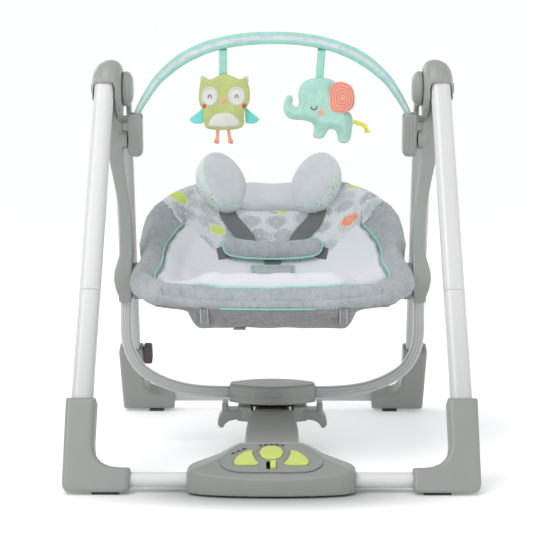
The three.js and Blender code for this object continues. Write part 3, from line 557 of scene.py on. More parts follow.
def smooth_curve(points, steps, closed=False):
    """Catmull-Rom through the points, steps per stretch."""
    points = [Vector(p) for p in points]
    count = len(points)
    stretches = count if closed else count - 1
    made = []
    for i in range(stretches):
        if closed:
            a, b, c, d = (points[(i + k) % count] for k in (-1, 0, 1, 2))
        else:
            b, c = points[i], points[i + 1]
            a = points[i - 1] if i else 2 * b - c
            d = points[i + 2] if i + 2 < count else 2 * c - b
        for k in range(steps):
            t = k / steps
            made.append(0.5 * (2 * b + (c - a) * t + (2 * a - 5 * b + 4 * c - d) * t * t
                               + (3 * b - a - 3 * c + d) * t ** 3))
    if not closed:
        made.append(points[-1])
    return made


def rounded_section(width, height, corner, per_corner=5):
    """Points of a rounded rectangle, anticlockwise."""
    points = []
    for sx, sy, start in ((1, 1, 0), (-1, 1, 90), (-1, -1, 180), (1, -1, 270)):
        for i in range(per_corner + 1):
            angle = math.radians(start + 90 * i / per_corner)
            points.append((sx * (width / 2 - corner) + corner * math.cos(angle),
                           sy * (height / 2 - corner) + corner * math.sin(angle)))
    return points


def round_section(radius, count=12):
    return [(radius * math.cos(2 * math.pi * i / count), radius * math.sin(2 * math.pi * i / count))
            for i in range(count)]


def sweep(name, path, section, material, side=(0, 1, 0), closed=False, scale=None):
    """Runs a section along a path. The section's first axis leans towards side at every step."""
    path = [Vector(p) for p in path]
    count, around = len(path), len(section)
    points, faces = [], []
    for i, place in enumerate(path):
        before = path[(i - 1) % count] if closed or i else path[0]
        after = path[(i + 1) % count] if closed or i < count - 1 else path[-1]
        along = (after - before).normalized()
        hint = Vector(side(i) if callable(side) else side)
        first = (hint - along * hint.dot(along)).normalized()
        second = along.cross(first)
        grow = scale(i / (count - 1)) if scale else 1
        wide, tall = grow if isinstance(grow, tuple) else (grow, grow)
        points.extend(place + first * a * wide + second * b * tall for a, b in section)
    rings = count if closed else count - 1
    for i in range(rings):
        for j in range(around):
            k, n = (j + 1) % around, ((i + 1) % count) * around
            faces.append((i * around + j, i * around + k, n + k, n + j))
    if not closed:
        faces.append(tuple(reversed(range(around))))
        faces.append(tuple((count - 1) * around + j for j in range(around)))
    return make_object(name, points, faces, material)


def cord(name, path, radius, around, material, side=(0, 1, 0), closed=False, scale=None):
    """A round cord; its radius is in mm."""
    return sweep(name, path, round_section(radius * MM, around), material, side, closed, scale)


def joined(name, pieces):
    """Joins pieces into one object, keeping each one's material."""
    points, faces, slots, materials = [], [], [], []
    for piece in pieces:
        start = len(points)
        points.extend(tuple(v.co) for v in piece.data.vertices)
        index = []
        for material in piece.data.materials:
            if material not in materials:
                materials.append(material)
            index.append(materials.index(material))
        for face in piece.data.polygons:
            faces.append([start + v for v in face.vertices])
            slots.append(index[face.material_index])
        bpy.data.objects.remove(piece)
    data = bpy.data.meshes.new(name)
    data.from_pydata(points, [], faces)
    for material in materials:
        data.materials.append(material)
    data.polygons.foreach_set("material_index", slots)
    data.shade_smooth()
    return linked(name, data)


def place_piece(piece, body, replaced=()):
    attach(piece, body)
    if replaced:
        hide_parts(*replaced)


def moulded(name, nodes, material, voxel, passes):
    """A softened skin over CAD nodes: every edge gets the small radius that a moulding has."""
    copies = [linked(name, frame["nodes"][node].data.copy()) for node in nodes]
    for copy in copies:
        copy.data.materials.clear()
        copy.data.materials.append(MATERIALS[material])
    piece = joined(name, copies)
    modify(piece, "REMESH", mode="VOXEL", voxel_size=voxel, use_smooth_shade=True)
    modify(piece, "SMOOTH", factor=0.5, iterations=passes)
    baked(piece)
    piece.data.materials.clear()
    piece.data.materials.append(MATERIALS[material])
    piece.data.shade_smooth()
    return piece


# ------------------------------------------------------------------ soft pieces
CLOTH = {
    "use_pressure": True, "quality": 5,
    "tension_stiffness": 12, "compression_stiffness": 12, "shear_stiffness": 6, "bending_stiffness": 0.4,
}
SIMULATED_FRAMES = 20


class Plump:
    """A piece waiting to be blown up as cloth."""

    def __init__(self, piece, voxel, pressure, cap):
        self.piece = piece
        self.cap = cap
        material = piece.data.materials[0]
        modify(piece, "REMESH", mode="VOXEL", voxel_size=voxel)
        baked(piece)
        piece.data.materials.clear()
        piece.data.materials.append(material)
        self.start = [v.co.copy() for v in piece.data.vertices]
        cloth = modify(piece, "CLOTH").settings
        for key, value in CLOTH.items():
            setattr(cloth, key, value)
        cloth.uniform_pressure_force = pressure
        cloth.effector_weights.gravity = 0

    def settle(self):
        baked(self.piece)
        for vertex, start in zip(self.piece.data.vertices, self.start):
            moved = vertex.co - start
            if moved.length > self.cap:
                vertex.co = start + moved * (self.cap / moved.length)
        modify(self.piece, "SMOOTH", factor=0.4, iterations=2)
        modify(self.piece, "SUBSURF", levels=1, render_levels=1)
        baked(self.piece)
        self.piece.data.shade_smooth()


def plump(waiting):
    """Runs the cloth simulation of all waiting pieces together."""
    scene = bpy.context.scene
    for i in range(1, SIMULATED_FRAMES + 1):
        scene.frame_set(i)
    for item in waiting:
        item.settle()
    scene.frame_set(1)


def ripple(point, size, seed):
    """Soft noise from -1 to 1."""
    return noise.noise(point / size + Vector((seed, seed * 1.7, seed * 0.3)))


# Seat surface. Along runs from the front edge, 0, to the top of the back, 1.
# Across runs from the left rim, -1, to the right rim, 1.
# Each row: along, centre y, centre z, rim x, rim y, rim z, in millimetres from the hub axis and the floor.
SEAT_ROWS = (
    (0, -214, 271, 176, -198, 276),
    (0.15, -165, 253, 206, -150, 282),
    (0.35, -85, 230, 223, -72, 293),
    (0.5, -10, 227, 212, 0, 318),
    (0.62, 50, 248, 218, 58, 346),
    (0.75, 100, 302, 209, 108, 384),
    (0.88, 150, 364, 174, 150, 414),
    (1, 202, 430, 120, 192, 437),
)
SEAT_LENGTH = 512
# A direction that is never along the piping on the seat.
OVER_SEAT = (0, -0.6, 0.8)


def row_slope(i):
    a, b = SEAT_ROWS[max(i - 1, 0)], SEAT_ROWS[min(i + 1, len(SEAT_ROWS) - 1)]
    return [(q - p) / (b[0] - a[0]) for p, q in zip(a[1:], b[1:])]


def seat_row(t):
    """Values between the rows on a smooth curve, carried on straight past both ends."""
    last = len(SEAT_ROWS) - 1
    if t <= 0 or t >= 1:
        end = 0 if t <= 0 else last
        return [v + m * (t - SEAT_ROWS[end][0]) for v, m in zip(SEAT_ROWS[end][1:], row_slope(end))]
    i = max(k for k in range(last) if SEAT_ROWS[k][0] <= t)
    a, b = SEAT_ROWS[i], SEAT_ROWS[i + 1]
    span = b[0] - a[0]
    k = (t - a[0]) / span
    h = (2 * k ** 3 - 3 * k ** 2 + 1, k ** 3 - 2 * k ** 2 + k, -2 * k ** 3 + 3 * k ** 2, k ** 3 - k ** 2)
    return [h[0] * p + h[1] * span * m + h[2] * q + h[3] * span * n
            for p, q, m, n in zip(a[1:], b[1:], row_slope(i), row_slope(i + 1))]


def seat_point(t, u):
    cy, cz, rx, ry, rz = seat_row(t)
    side = abs(u)
    return at(u * rx, cy + (ry - cy) * side ** 2, cz + (rz - cz) * side ** 2.6)


def seat_normal(t, u):
    step = 0.012
    along = seat_point(t + step, u) - seat_point(t - step, u)
    across = seat_point(t, u + step) - seat_point(t, u - step)
    return across.cross(along).normalized()


def over_seat(t, u, offset):
    return seat_point(t, u) + seat_normal(t, u) * offset * MM


def seat_pad(name, along, across, upper, lower, rows, columns, material, width=lambda t: 1):
    """A closed pad between two offsets (mm, functions of along and across) from the seat surface."""
    points, faces = [], []
    for offset in (upper, lower):
        for i in range(rows + 1):
            t = along[0] + (along[1] - along[0]) * i / rows
            for j in range(columns + 1):
                u = (across[0] + (across[1] - across[0]) * j / columns) * width(t)
                points.append(over_seat(t, u, offset(t, u)))
    wide, layer = columns + 1, (rows + 1) * (columns + 1)
    for i in range(rows):
        for j in range(columns):
            a, b, c, d = i * wide + j, i * wide + j + 1, (i + 1) * wide + j + 1, (i + 1) * wide + j
            faces.append((a, b, c, d))
            faces.append((a + layer, d + layer, c + layer, b + layer))
    rim = [j for j in range(columns)] + [i * wide + columns for i in range(rows)]
    rim += [rows * wide + j for j in range(columns, 0, -1)] + [i * wide for i in range(rows, 0, -1)]
    for a, b in zip(rim, rim[1:] + rim[:1]):
        faces.append((a, a + layer, b + layer, b))
    return make_object(name, points, faces, material)


def pad_edge(t, u, half, low, high, width=205):
    """Millimetres to the nearest edge of a pad on the seat; width is what one step across is worth."""
    return min((half - abs(u)) * width, (t - low) * SEAT_LENGTH, (high - t) * SEAT_LENGTH)


def ease(value, low, high):
    k = min(1, max(0, (value - low) / (high - low)))
    return k * k * (3 - 2 * k)


def round_edge(distance, radius):
    """Half thickness of a rolled edge, by distance from the edge."""
    if distance >= radius:
        return radius
    return radius * math.sqrt(max(0, 1 - (1 - distance / radius) ** 2))


# The cover's rolled rim: half its thickness (mm) on each side of the seat.
ROLL = {"side": 16, "front": 18, "back": 9}
# The seams between the back and the side bolsters: along, across.
BOLSTER_SEAM = ((0.78, 0.78), (0.785, 0.86), (0.80, 0.94), (0.815, 1.0))
FRONT_SEAM_X = 166
FRONT_SEAM = {"along": 0.02, "across": FRONT_SEAM_X / 180, "reach": 21}
POUCH_FLOOR = 212
COVER_MIDDLE = -6.5
FRONT_SINK = 4.5


def edge_distance(t, u):
    """Millimetres to the nearest edge of the seat surface."""
    side = (1 - abs(u)) * seat_row(t)[2] * 1.25
    return min(side, t * SEAT_LENGTH, (1 - t) * SEAT_LENGTH)


def cover_half(t, u):
    distance = edge_distance(t, u)
    front, back = ease(t, 0.16, 0.02), ease(t, 0.86, 0.97)
    radius = ROLL["side"] + (ROLL["front"] - ROLL["side"]) * front + (ROLL["back"] - ROLL["side"]) * back
    return round_edge(distance, radius) - (radius - 6) * ease(distance, radius * 1.5, radius * 3.6)


def cover_middle(t):
    """The front roll hangs a little lower than the sides."""
    return COVER_MIDDLE - FRONT_SINK * ease(t, 0.14, 0.03)


def cover_upper(t, u):
    p = seat_point(t, u)
    seam = math.exp(-((abs(p.x) / MM - FRONT_SEAM_X) / 2.5) ** 2) * ease(t, 0.14, 0.08)
    wrinkle = 1.6 * ripple(p, 0.028, 3) + 0.8 * ripple(p, 0.011, 7)
    fade = ease(edge_distance(t, u), 0, 8)
    return cover_middle(t) + cover_half(t, u) + wrinkle * fade - 2.2 * seam


def cover_lower(t, u):
    p = seat_point(t, u)
    base = cover_middle(t) - cover_half(t, u)
    inside = ease(abs(p.x) / MM, 134, 104) * ease(t, 0.035, 0.13) * ease(t, 0.66, 0.5)
    wrinkle = 1.4 * ripple(p, 0.03, 11) + 0.7 * ripple(p, 0.012, 13)
    deep = -max(13, p.z / MM - POUCH_FLOOR)
    fade = ease(edge_distance(t, u), 0, 8)
    return base + (deep - base) * inside + wrinkle * fade


# The liner's piped edge: along, across.
PIPING = ((0.055, 0.60), (0.08, 0.67), (0.14, 0.73), (0.24, 0.80), (0.38, 0.865), (0.52, 0.88), (0.64, 0.845),
          (0.72, 0.80), (0.775, 0.765))
PIPING_FRONT = ((0.037, -0.47), (0.032, -0.25), (0.031, 0), (0.032, 0.25), (0.037, 0.47))
PRINT_EDGE = ((0.775, 0.765), (0.80, 0.80), (0.86, 0.90), (0.965, 0.93))
LINER_ALONG = (0.03, 0.965)
LINER_SEAMS = (0.2, 0.47)
CHANNEL_INSET = 0.15
BAND_RISE = 20


def liner_half(t):
    """Half width of the liner, as a share of the seat's."""
    stops = PIPING + PRINT_EDGE[1:]
    if t <= stops[0][0]:
        return stops[0][1]
    for (t0, u0), (t1, u1) in zip(stops, stops[1:]):
        if t <= t1:
            return u0 + (u1 - u0) * ease(t, t0, t1)
    return stops[-1][1]


def liner_upper(t, u):
    p = seat_point(t, u)
    half = liner_half(t)
    edge = pad_edge(t, u, half, *LINER_ALONG, 230)
    scallop = abs(math.sin(math.pi * (p.x / MM + 12) / 56))
    front = BAND_RISE * ease(t, 0.03, 0.075) * ease(t, 0.21, 0.1) * (0.86 + 0.14 * scallop ** 0.5)
    front *= ease(abs(u), 0.72, 0.46)
    channel = sum(math.exp(-((t - seam) * SEAT_LENGTH / 5) ** 2) for seam in LINER_SEAMS)
    channel *= ease(abs(u), half - 0.1, half - 0.2)
    beside = math.exp(-((half - CHANNEL_INSET - abs(u)) * 210 / 6) ** 2)
    channel += beside * ease(t, 0.15, 0.25) * ease(t, 0.8, 0.72)
    flat = ease(t, 0.74, 0.8)
    wrinkle = 1.2 * ripple(p, 0.032, 21) + 0.6 * ripple(p, 0.012, 23)
    rolled = round_edge(max(edge, 0), 10 - 4 * flat)
    return 5 + rolled + front - 4 * channel * (1 - flat) + wrinkle * ease(edge, 2, 12)


def seat_lookup():
    """A search tree from a place in space back to (along, across) on the seat surface."""
    samples = [(i / 120, j / 60) for i in range(121) for j in range(-60, 61)]
    tree = KDTree(len(samples))
    for i, (t, u) in enumerate(samples):
        tree.insert(over_seat(t, u, 6), i)
    tree.balance()
    return lambda place: samples[tree.find(place)[1]]


# The slices look flatter where the back curls over at the top.
CURL = {"from": 0.8, "squeeze": 0.7}


def pattern_uv(piece, lookup):
    """Lays the print out flat: metres across and metres along the seat."""
    places = [lookup(v.co) for v in piece.data.vertices]
    layer = piece.data.uv_layers.new(name="pattern")
    for loop in piece.data.loops:
        t, _ = places[loop.vertex_index]
        along = t + max(0, t - CURL["from"]) * CURL["squeeze"]
        layer.data[loop.index].uv = (piece.data.vertices[loop.vertex_index].co.x, along * SEAT_LENGTH * MM)
    return places


def pinch(piece, path, depth, width):
    """Draws the cloth in along a seam; depth and width in mm."""
    tree = KDTree(len(path))
    for i, p in enumerate(path):
        tree.insert(p, i)
    tree.balance()
    normals = [v.normal.copy() for v in piece.data.vertices]
    for vertex, normal in zip(piece.data.vertices, normals):
        gap = tree.find(vertex.co)[2] / MM
        if gap < 3 * width:
            vertex.co -= normal * depth * MM * math.exp(-(gap / width) ** 2)


def on_surface(piece, path, lift):
    """Drops a path onto a piece, lift mm above it."""
    graph = bpy.context.evaluated_depsgraph_get()
    evaluated = piece.evaluated_get(graph)
    landed = []
    for p in path:
        _, place, normal, _ = evaluated.closest_point_on_mesh(p)
        landed.append(place + normal * lift * MM)
    return landed


def sewn_seam(name, piece, path, depth=2.2):
    """A seam: the cloth is drawn in and a thread lies in the groove."""
    pinch(piece, path, depth, 4.0)
    piece.data.update()
    line = eased_line(on_surface(piece, path, 0.1), 2)
    place_piece(cord(name, line, 0.55, 6, "plush_shade", (0.3, -0.5, 0.8)), "seat")


def make_seat(waiting):
    cover = seat_pad("seat_cover_plush", (0, 1), (-1, 1), cover_upper, cover_lower, 110, 110, "seat_plush")
    waiting.append(Plump(cover, 0.0055, 2.0, 0.004))
    liner = seat_pad("seat_liner_pad", LINER_ALONG, (-1, 1), liner_upper, lambda t, u: 2.5, 110, 100,
                     "liner_fabric", liner_half)
    waiting.append(Plump(liner, 0.0048, 2.5, 0.004))
    return cover, liner


# Heights over the seat surface (mm) below which the cover is its plain back, and the pouch, which takes a
# darker copy of the seat plush as painted shade.
BACK_FACE = -10
UNDERSIDE = -27


def over_cloth(pieces, stops, lift):
    """A line through (along, across) stops that lies on whichever piece is on top, lift mm above it."""
    graph = bpy.context.evaluated_depsgraph_get()
    evaluated = [piece.evaluated_get(graph) for piece in pieces]
    line = []
    for spot in smooth_curve([(t, u, 0) for t, u in stops], 10):
        start, up = over_seat(spot.x, spot.y, 60), seat_normal(spot.x, spot.y)
        hits = [cast[1] for cast in (piece.ray_cast(start, -up) for piece in evaluated) if cast[0]]
        top = min(hits, key=lambda place: (place - start).length) if hits else over_seat(spot.x, spot.y, 10)
        line.append(top + up * lift * MM)
    return eased_line(line, 4)


def eased_line(line, passes):
    """Takes small kinks out of a line; its ends stay."""
    for _ in range(passes):
        middle = [(line[i - 1] + line[i] * 2 + line[i + 1]) / 4 for i in range(1, len(line) - 1)]
        line = [line[0]] + middle + [line[-1]]
    return line


def finish_seat(cover, liner):
    lookup = seat_lookup()
    cover.data.materials.append(MATERIALS["back_print"])
    places = pattern_uv(cover, lookup)
    cover.data.materials.append(MATERIALS["pouch_plush"])
    for face in cover.data.polygons:
        t, u = places[face.vertices[0]]
        height = (face.center - seat_point(t, u)).dot(seat_normal(t, u)) / MM
        printed = 0.785 + 0.025 * ease(abs(u), 0.78, 1) < t < 0.985 and height > BACK_FACE
        # Painted shade: the underside and the pouch take the darker plush copy.
        under = t < 0.7 and height < UNDERSIDE
        face.material_index = 2 if under else int(printed)
    pattern_uv(liner, lookup)
    liner.data.materials.clear()
    liner.data.materials.append(MATERIALS["liner_print"])
    place_piece(cover, "seat", ["seat_cover"])
    place_piece(liner, "seat", ["seat_liner"])
    stops = [(t, -u) for t, u in reversed(PIPING)] + list(PIPING_FRONT) + list(PIPING)
    path = over_cloth((cover, liner), stops, 0.9)
    pinch(liner, path, 2.0, 4)
    place_piece(cord("liner_piping", path, 1.8, 10, "mint_fabric", OVER_SEAT), "seat")
    for name, side in SIDES:
        path = smooth_curve([over_seat(t, side * u, 8) for t, u in BOLSTER_SEAM], 10)
        sewn_seam(f"bolster_seam_{name}", cover, path)
        along, across, reach = (FRONT_SEAM[key] for key in ("along", "across", "reach"))
        centre = over_seat(along, side * across, cover_middle(along))
        drop = []
        for k in range(14):
            angle = math.radians(60 - 150 * k / 13)
            drop.append(centre + Vector((0, -math.cos(angle), math.sin(angle))) * reach * MM)
        sewn_seam(f"front_seam_{name}", cover, drop, depth=3.0)


# ------------------------------------------------------------------ under the seat
FRAME_DROP = 20
FRAME_INSET = 0.93
FRAME_ALONG = (0.05, 0.16, 0.28, 0.4, 0.52, 0.64, 0.76, 0.86, 0.95)
FRAME_ACROSS = (0.72, 0.4, 0, -0.4, -0.72)


def make_frame_sleeve():
    """The cloth sleeve sewn round the ring that carries the seat, with a thin mint line along its front."""
    stops = [(t, FRAME_INSET) for t in FRAME_ALONG] + [(0.975, u) for u in FRAME_ACROSS]
    stops += [(t, -FRAME_INSET) for t in reversed(FRAME_ALONG)] + [(0.025, -u) for u in FRAME_ACROSS]
    path = [over_seat(t, u, -FRAME_DROP + 3 * ease(abs(u), 0.4, 0.93)) for t, u in stops]
    path = smooth_curve(path, 10, closed=True)
    section = rounded_section(13.5 * MM, 15 * MM, 6 * MM, 5)
    sleeve = sweep("frame_sleeve", path, section, "seat_plush", side=(0, 0, 1), closed=True)
    for vertex in sleeve.data.vertices:
        vertex.co += vertex.normal * 0.5 * MM * ripple(vertex.co, 0.012, 31)
    place_piece(sleeve, "seat")
    line = [over_seat(0.012, u, -FRAME_DROP - 6) + Vector((0, -1.5, -1.5)) * MM
            for u in np.linspace(-0.42, 0.36, 30)]
    place_piece(cord("sleeve_piping", line, 1.2, 8, "mint_fabric", (0, 0, 1)), "seat")


# The pouch's two loops: x, width. Down each loop: height, how far it stands off. All in mm.
POUCH_LOOPS = ((-101, 14), (107, 13))
LOOP_BULGE = ((244, 0), (240, 2.5), (234, 4.5), (228, 5), (222, 4.5), (217, 2))


def make_pouch_details(cover):
    """Two sewn carry loops on the pouch, and a small buckle under its front edge."""
    drop = front_of(cover)
    for i, (x, wide) in enumerate(POUCH_LOOPS):
        path = smooth_curve([drop(x * MM, z * MM) + Vector((0, -out, 0)) * MM for z, out in LOOP_BULGE], 5)
        band = rounded_section(2.6 * MM, wide * MM, 1.2 * MM, 3)
        place_piece(sweep(f"pouch_loop_{i}", path, band, "plush_shade"), "seat")
        for edge in (-1, 1):
            line = [p + Vector((edge * (wide / 2 - 1.6), -1.4, 0)) * MM for p in path]
            stitch = cord(f"pouch_loop_{i}_stitch_{edge}", line, 0.45, 6, "pale_thread")
            place_piece(stitch, "seat")
    body = rounded_section(19 * MM, 5 * MM, 1.8 * MM, 4)
    path = [at(-49, y, 210.5) for y in (-178, -176, -166, -164)]
    buckle = sweep("pouch_buckle", path, body, "dark_grey_plastic", side=(1, 0, 0),
                   scale=lambda k: 0.86 + 0.14 * (1 - abs(2 * k - 1) ** 3))
    place_piece(buckle, "seat")


# ------------------------------------------------------------------ head pillow
LOBE = {"x": 82.2, "shift": -7.2, "along": 0.955, "lift": 28, "wide": 42, "tall": 58.5, "thick": 24.5}
LOBE_FACE = (0.42, -0.75, 0.53)
# Half the lobe's section, from the middle of its face to the middle of its back: shares of its size.
LOBE_PROFILE = ((0, 1), (0.35, 0.99), (0.62, 0.95), (0.82, 0.86), (0.93, 0.7), (0.99, 0.35), (1, 0),
                (0.99, -0.35), (0.93, -0.7), (0.8, -0.9), (0.5, -1), (0, -1))


def lobe_rim(across, up, angle):
    """From the middle of a lobe to its widest line, in mm."""
    return across * math.cos(angle) * LOBE["wide"] + up * math.sin(angle) * LOBE["tall"]


def make_lobe(side):
    """A fat oval cushion whose face turns up and in, towards the head."""
    rest, normal = seat_point(LOBE["along"], 0.4), seat_normal(LOBE["along"], 0)
    centre = Vector(((side * LOBE["x"] + LOBE["shift"]) * MM, rest.y, rest.z)) + normal * LOBE["lift"] * MM
    out = Vector((-side * LOBE_FACE[0], *LOBE_FACE[1:])).normalized()
    lean = Vector((side * 0.12, 0, 1))
    up = (lean - out * out.dot(lean)).normalized()
    across = up.cross(out)
    around = 48
    points, faces = [], []
    for radial, depth in LOBE_PROFILE:
        for k in range(around if radial else 1):
            spread = lobe_rim(across, up, 2 * math.pi * k / around)
            points.append(centre + (spread * radial + out * depth * LOBE["thick"]) * MM)
    starts = [0]
    for radial, _ in LOBE_PROFILE:
        starts.append(starts[-1] + (around if radial else 1))
    for ring in range(len(LOBE_PROFILE) - 1):
        a, b = starts[ring], starts[ring + 1]
        for k in range(around):
            n = (k + 1) % around
            if ring == 0:
                faces.append((a, b + k, b + n))
            elif ring == len(LOBE_PROFILE) - 2:
                faces.append((a + k, b, a + n))
            else:
                faces.append((a + k, b + k, b + n, a + n))
    name = "pillow_lobe_" + ("left" if side < 0 else "right")
    return make_object(name, points, faces, "pillow_fabric"), centre, across, up, out


def finish_lobe(lobe, centre, across, up, out):
    """Dotted band round the lobe and a piped seam where it meets the plain face."""
    ring = []
    for k in range(61):
        spread = lobe_rim(across, up, 2 * math.pi * k / 60)
        ring.append(centre + (spread * 0.99 + out * LOBE["thick"] * 0.78) * MM)
    pinch(lobe, ring, 1.8, 3.5)
    lobe.data.update()
    lobe.data.materials.append(MATERIALS["pillow_band"])
    for face in lobe.data.polygons:
        away = face.center - centre
        face.material_index = int(away.dot(out) / MM < LOBE["thick"] * 0.72)
    ring = on_surface(lobe, ring[:-1], 0.2)
    for _ in range(3):
        ring = [(ring[k - 1] + ring[k] * 2 + ring[(k + 1) % len(ring)]) / 4 for k in range(len(ring))]
    piping = cord(lobe.name + "_piping", ring, 0.9, 8, "pale_piping", out, closed=True)
    place_piece(piping, "seat")


MIDDLE_PAD = {"low": 0.885, "high": 0.975, "half": 0.40}


def middle_width(t):
    """The pad's four corners are round."""
    share = (t - MIDDLE_PAD["low"]) / (MIDDLE_PAD["high"] - MIDDLE_PAD["low"]) * 2 - 1
    return 0.72 + 0.28 * math.sqrt(max(0, 1 - share ** 4))


def make_pillow_middle():
    """The low pad behind the head that joins the lobes."""
    pad = MIDDLE_PAD

    def top(t, u):
        half = pad["half"] * middle_width(t)
        edge = pad_edge(t, u, half, pad["low"], pad["high"], 150)
        hollow = 6 * math.exp(-(u / 0.16) ** 2)
        return 14 + round_edge(max(edge, 0), 15) - hollow * ease(edge, 0, 12)
    return seat_pad("pillow_middle", (pad["low"], pad["high"]), (-pad["half"], pad["half"]), top,
                    lambda t, u: 13, 26, 40, "pillow_fabric", middle_width)


# ------------------------------------------------------------------ harness
STRAP_THICK = 1.6
STRAP_STEPS = 8


def strap_over_seat(name, stops, width, offset):
    """Flat webbing that follows the seat surface, offset mm above it and then as high as each stop says."""
    path, normals = [], []
    for i, (start, end) in enumerate(zip(stops, stops[1:])):
        for k in range(STRAP_STEPS + (i == len(stops) - 2)):
            t, u, lift = (a + (b - a) * (k / STRAP_STEPS) for a, b in zip(start, end))
            path.append(over_seat(t, u, offset + lift))
            normals.append(seat_normal(t, u))
    section = rounded_section(STRAP_THICK * MM, width * MM, 0.45 * STRAP_THICK * MM, 3)
    return sweep(name, path, section, "webbing", side=lambda i: normals[i])


# Straps of the right side and the middle: along, across, height over the strap's own offset (mm).
SHOULDER_STRAP = ((0.895, 0.48, -9), (0.875, 0.46, 0), (0.845, 0.39, 3), (0.81, 0.28, 5), (0.78, 0.22, 9),
                  (0.76, 0.2, 10))
WAIST_STRAP = ((0.688, 0.60, -14), (0.692, 0.57, -5), (0.70, 0.52, 1), (0.71, 0.46, 3), (0.73, 0.36, 7))
CROTCH_STRAP = ((0.5, 0, -4), (0.52, 0, 0), (0.62, 0, 3), (0.72, 0, 5))
# The slit that a waist strap goes into: across, half its length and its middle along.
SLIT = {"across": 0.565, "half": 0.03, "middle": 0.693}
PAD_ALONG = (0.706, 0.772)
PAD_HALF = 0.42
CUFF_ALONG = (0.60, 0.69)
CUFF_HALF = 0.17


def make_harness(waiting):
    for name, side in SIDES:
        stops = [(t, side * u, lift) for t, u, lift in SHOULDER_STRAP]
        shoulder = strap_over_seat(f"shoulder_strap_{name}", stops, 28, 15.5)
        stops = [(t, side * u, lift) for t, u, lift in WAIST_STRAP]
        waist = strap_over_seat(f"waist_strap_{name}", stops, 24, 14.5)
        slit = [over_seat(SLIT["middle"] + SLIT["half"] * k, side * SLIT["across"], 13 - 4 * abs(k))
                for k in np.linspace(-1, 1, 9)]
        binding = cord(f"strap_slit_{name}", slit, 1.5, 8, "liner_fabric", OVER_SEAT)
        place_piece(binding, "seat")
        for piece in (shoulder, waist):
            place_piece(piece, "seat", ["harness_webbing"])
    place_piece(strap_over_seat("crotch_strap", CROTCH_STRAP, 27, 16), "seat")

    def pad_half(t):
        """The pad's ends are round."""
        share = min(1, max(-1, (t - PAD_ALONG[0]) / (PAD_ALONG[1] - PAD_ALONG[0]) * 2 - 1))
        return 0.78 + 0.22 * math.sqrt(1 - share * share)

    def pad_top(t, u):
        return 24 + round_edge(max(pad_edge(t, u, PAD_HALF * pad_half(t), *PAD_ALONG), 0), 13)
    chest = seat_pad("waist_pad_plush", PAD_ALONG, (-PAD_HALF, PAD_HALF), pad_top, lambda t, u: 23, 20, 60,
                     "seat_plush", pad_half)
    waiting.append(Plump(chest, 0.004, 3.0, 0.005))

    def cuff_top(t, u):
        return 21 + round_edge(max(pad_edge(t, u, CUFF_HALF, *CUFF_ALONG), 0), 9)
    cuff = seat_pad("crotch_cuff", CUFF_ALONG, (-CUFF_HALF, CUFF_HALF), cuff_top, lambda t, u: 20, 24, 28,
                    "seat_plush")
    waiting.append(Plump(cuff, 0.004, 3.0, 0.004))
    return chest, cuff


def pad_piping(name, pad, loop, offset, steps, radius, around, lift):
    """Mint piping laid round the top of a pad."""
    path = on_surface(pad, smooth_curve([over_seat(t, u, offset) for t, u in loop], steps, closed=True), lift)
    edge = cord(name, path, radius, around, "mint_fabric", OVER_SEAT, closed=True)
    place_piece(edge, "seat")


def finish_harness(chest, cuff):
    place_piece(chest, "seat", ["waist_pad"])
    place_piece(cuff, "seat", ["harness_buckle"])
    low, high = PAD_ALONG
    middle = (low + high) / 2
    loop = [(low, -0.33), (low, 0), (low, 0.33), (low + 0.012, 0.397), (middle, 0.425), (high - 0.012, 0.397)]
    loop += [(high, 0.33), (high, 0), (high, -0.33), (high - 0.012, -0.397), (middle, -0.425)]
    loop += [(low + 0.012, -0.397)]
    pad_piping("waist_pad_piping", chest, loop, 27, 8, 1.9, 10, 0.5)
    loop = [(0.60, -0.15), (0.60, 0.15), (0.615, 0.175), (0.675, 0.175), (0.69, 0.15), (0.69, -0.15),
            (0.675, -0.175), (0.615, -0.175)]
    pad_piping("crotch_cuff_piping", cuff, loop, 22.5, 6, 1.4, 8, 0.4)


# ------------------------------------------------------------------ toys
def outline_block(name, outline, y, thickness, material, steps=6):
    """A flat block between two copies of an outline drawn in x and z, ready to be blown up."""
    path = smooth_curve([(x, 0, z) for x, z in outline], steps, closed=True)
    count = len(path)
    points = [Vector((p.x * MM, (y - thickness / 2) * MM + HUB.y, p.z * MM)) for p in path]
    points += [Vector((p.x * MM, (y + thickness / 2) * MM + HUB.y, p.z * MM)) for p in path]
    faces = [tuple(range(count)), tuple(reversed(range(count, 2 * count)))]
    faces += [(i, i + count, (i + 1) % count + count, (i + 1) % count) for i in range(count)]
    piece = make_object(name, points, faces, material)
    modify(piece, "TRIANGULATE")
    return baked(piece)


def front_of(piece):
    """Finds the front face of a piece under a place in x and z."""
    graph = bpy.context.evaluated_depsgraph_get()
    evaluated = piece.evaluated_get(graph)

    def drop(x, z):
        hit, place, _, _ = evaluated.ray_cast(Vector((x, -1, z)), Vector((0, 1, 0)))
        if not hit:
            hit, place, _, _ = evaluated.closest_point_on_mesh(Vector((x, -0.03, z)))
        return place
    return drop


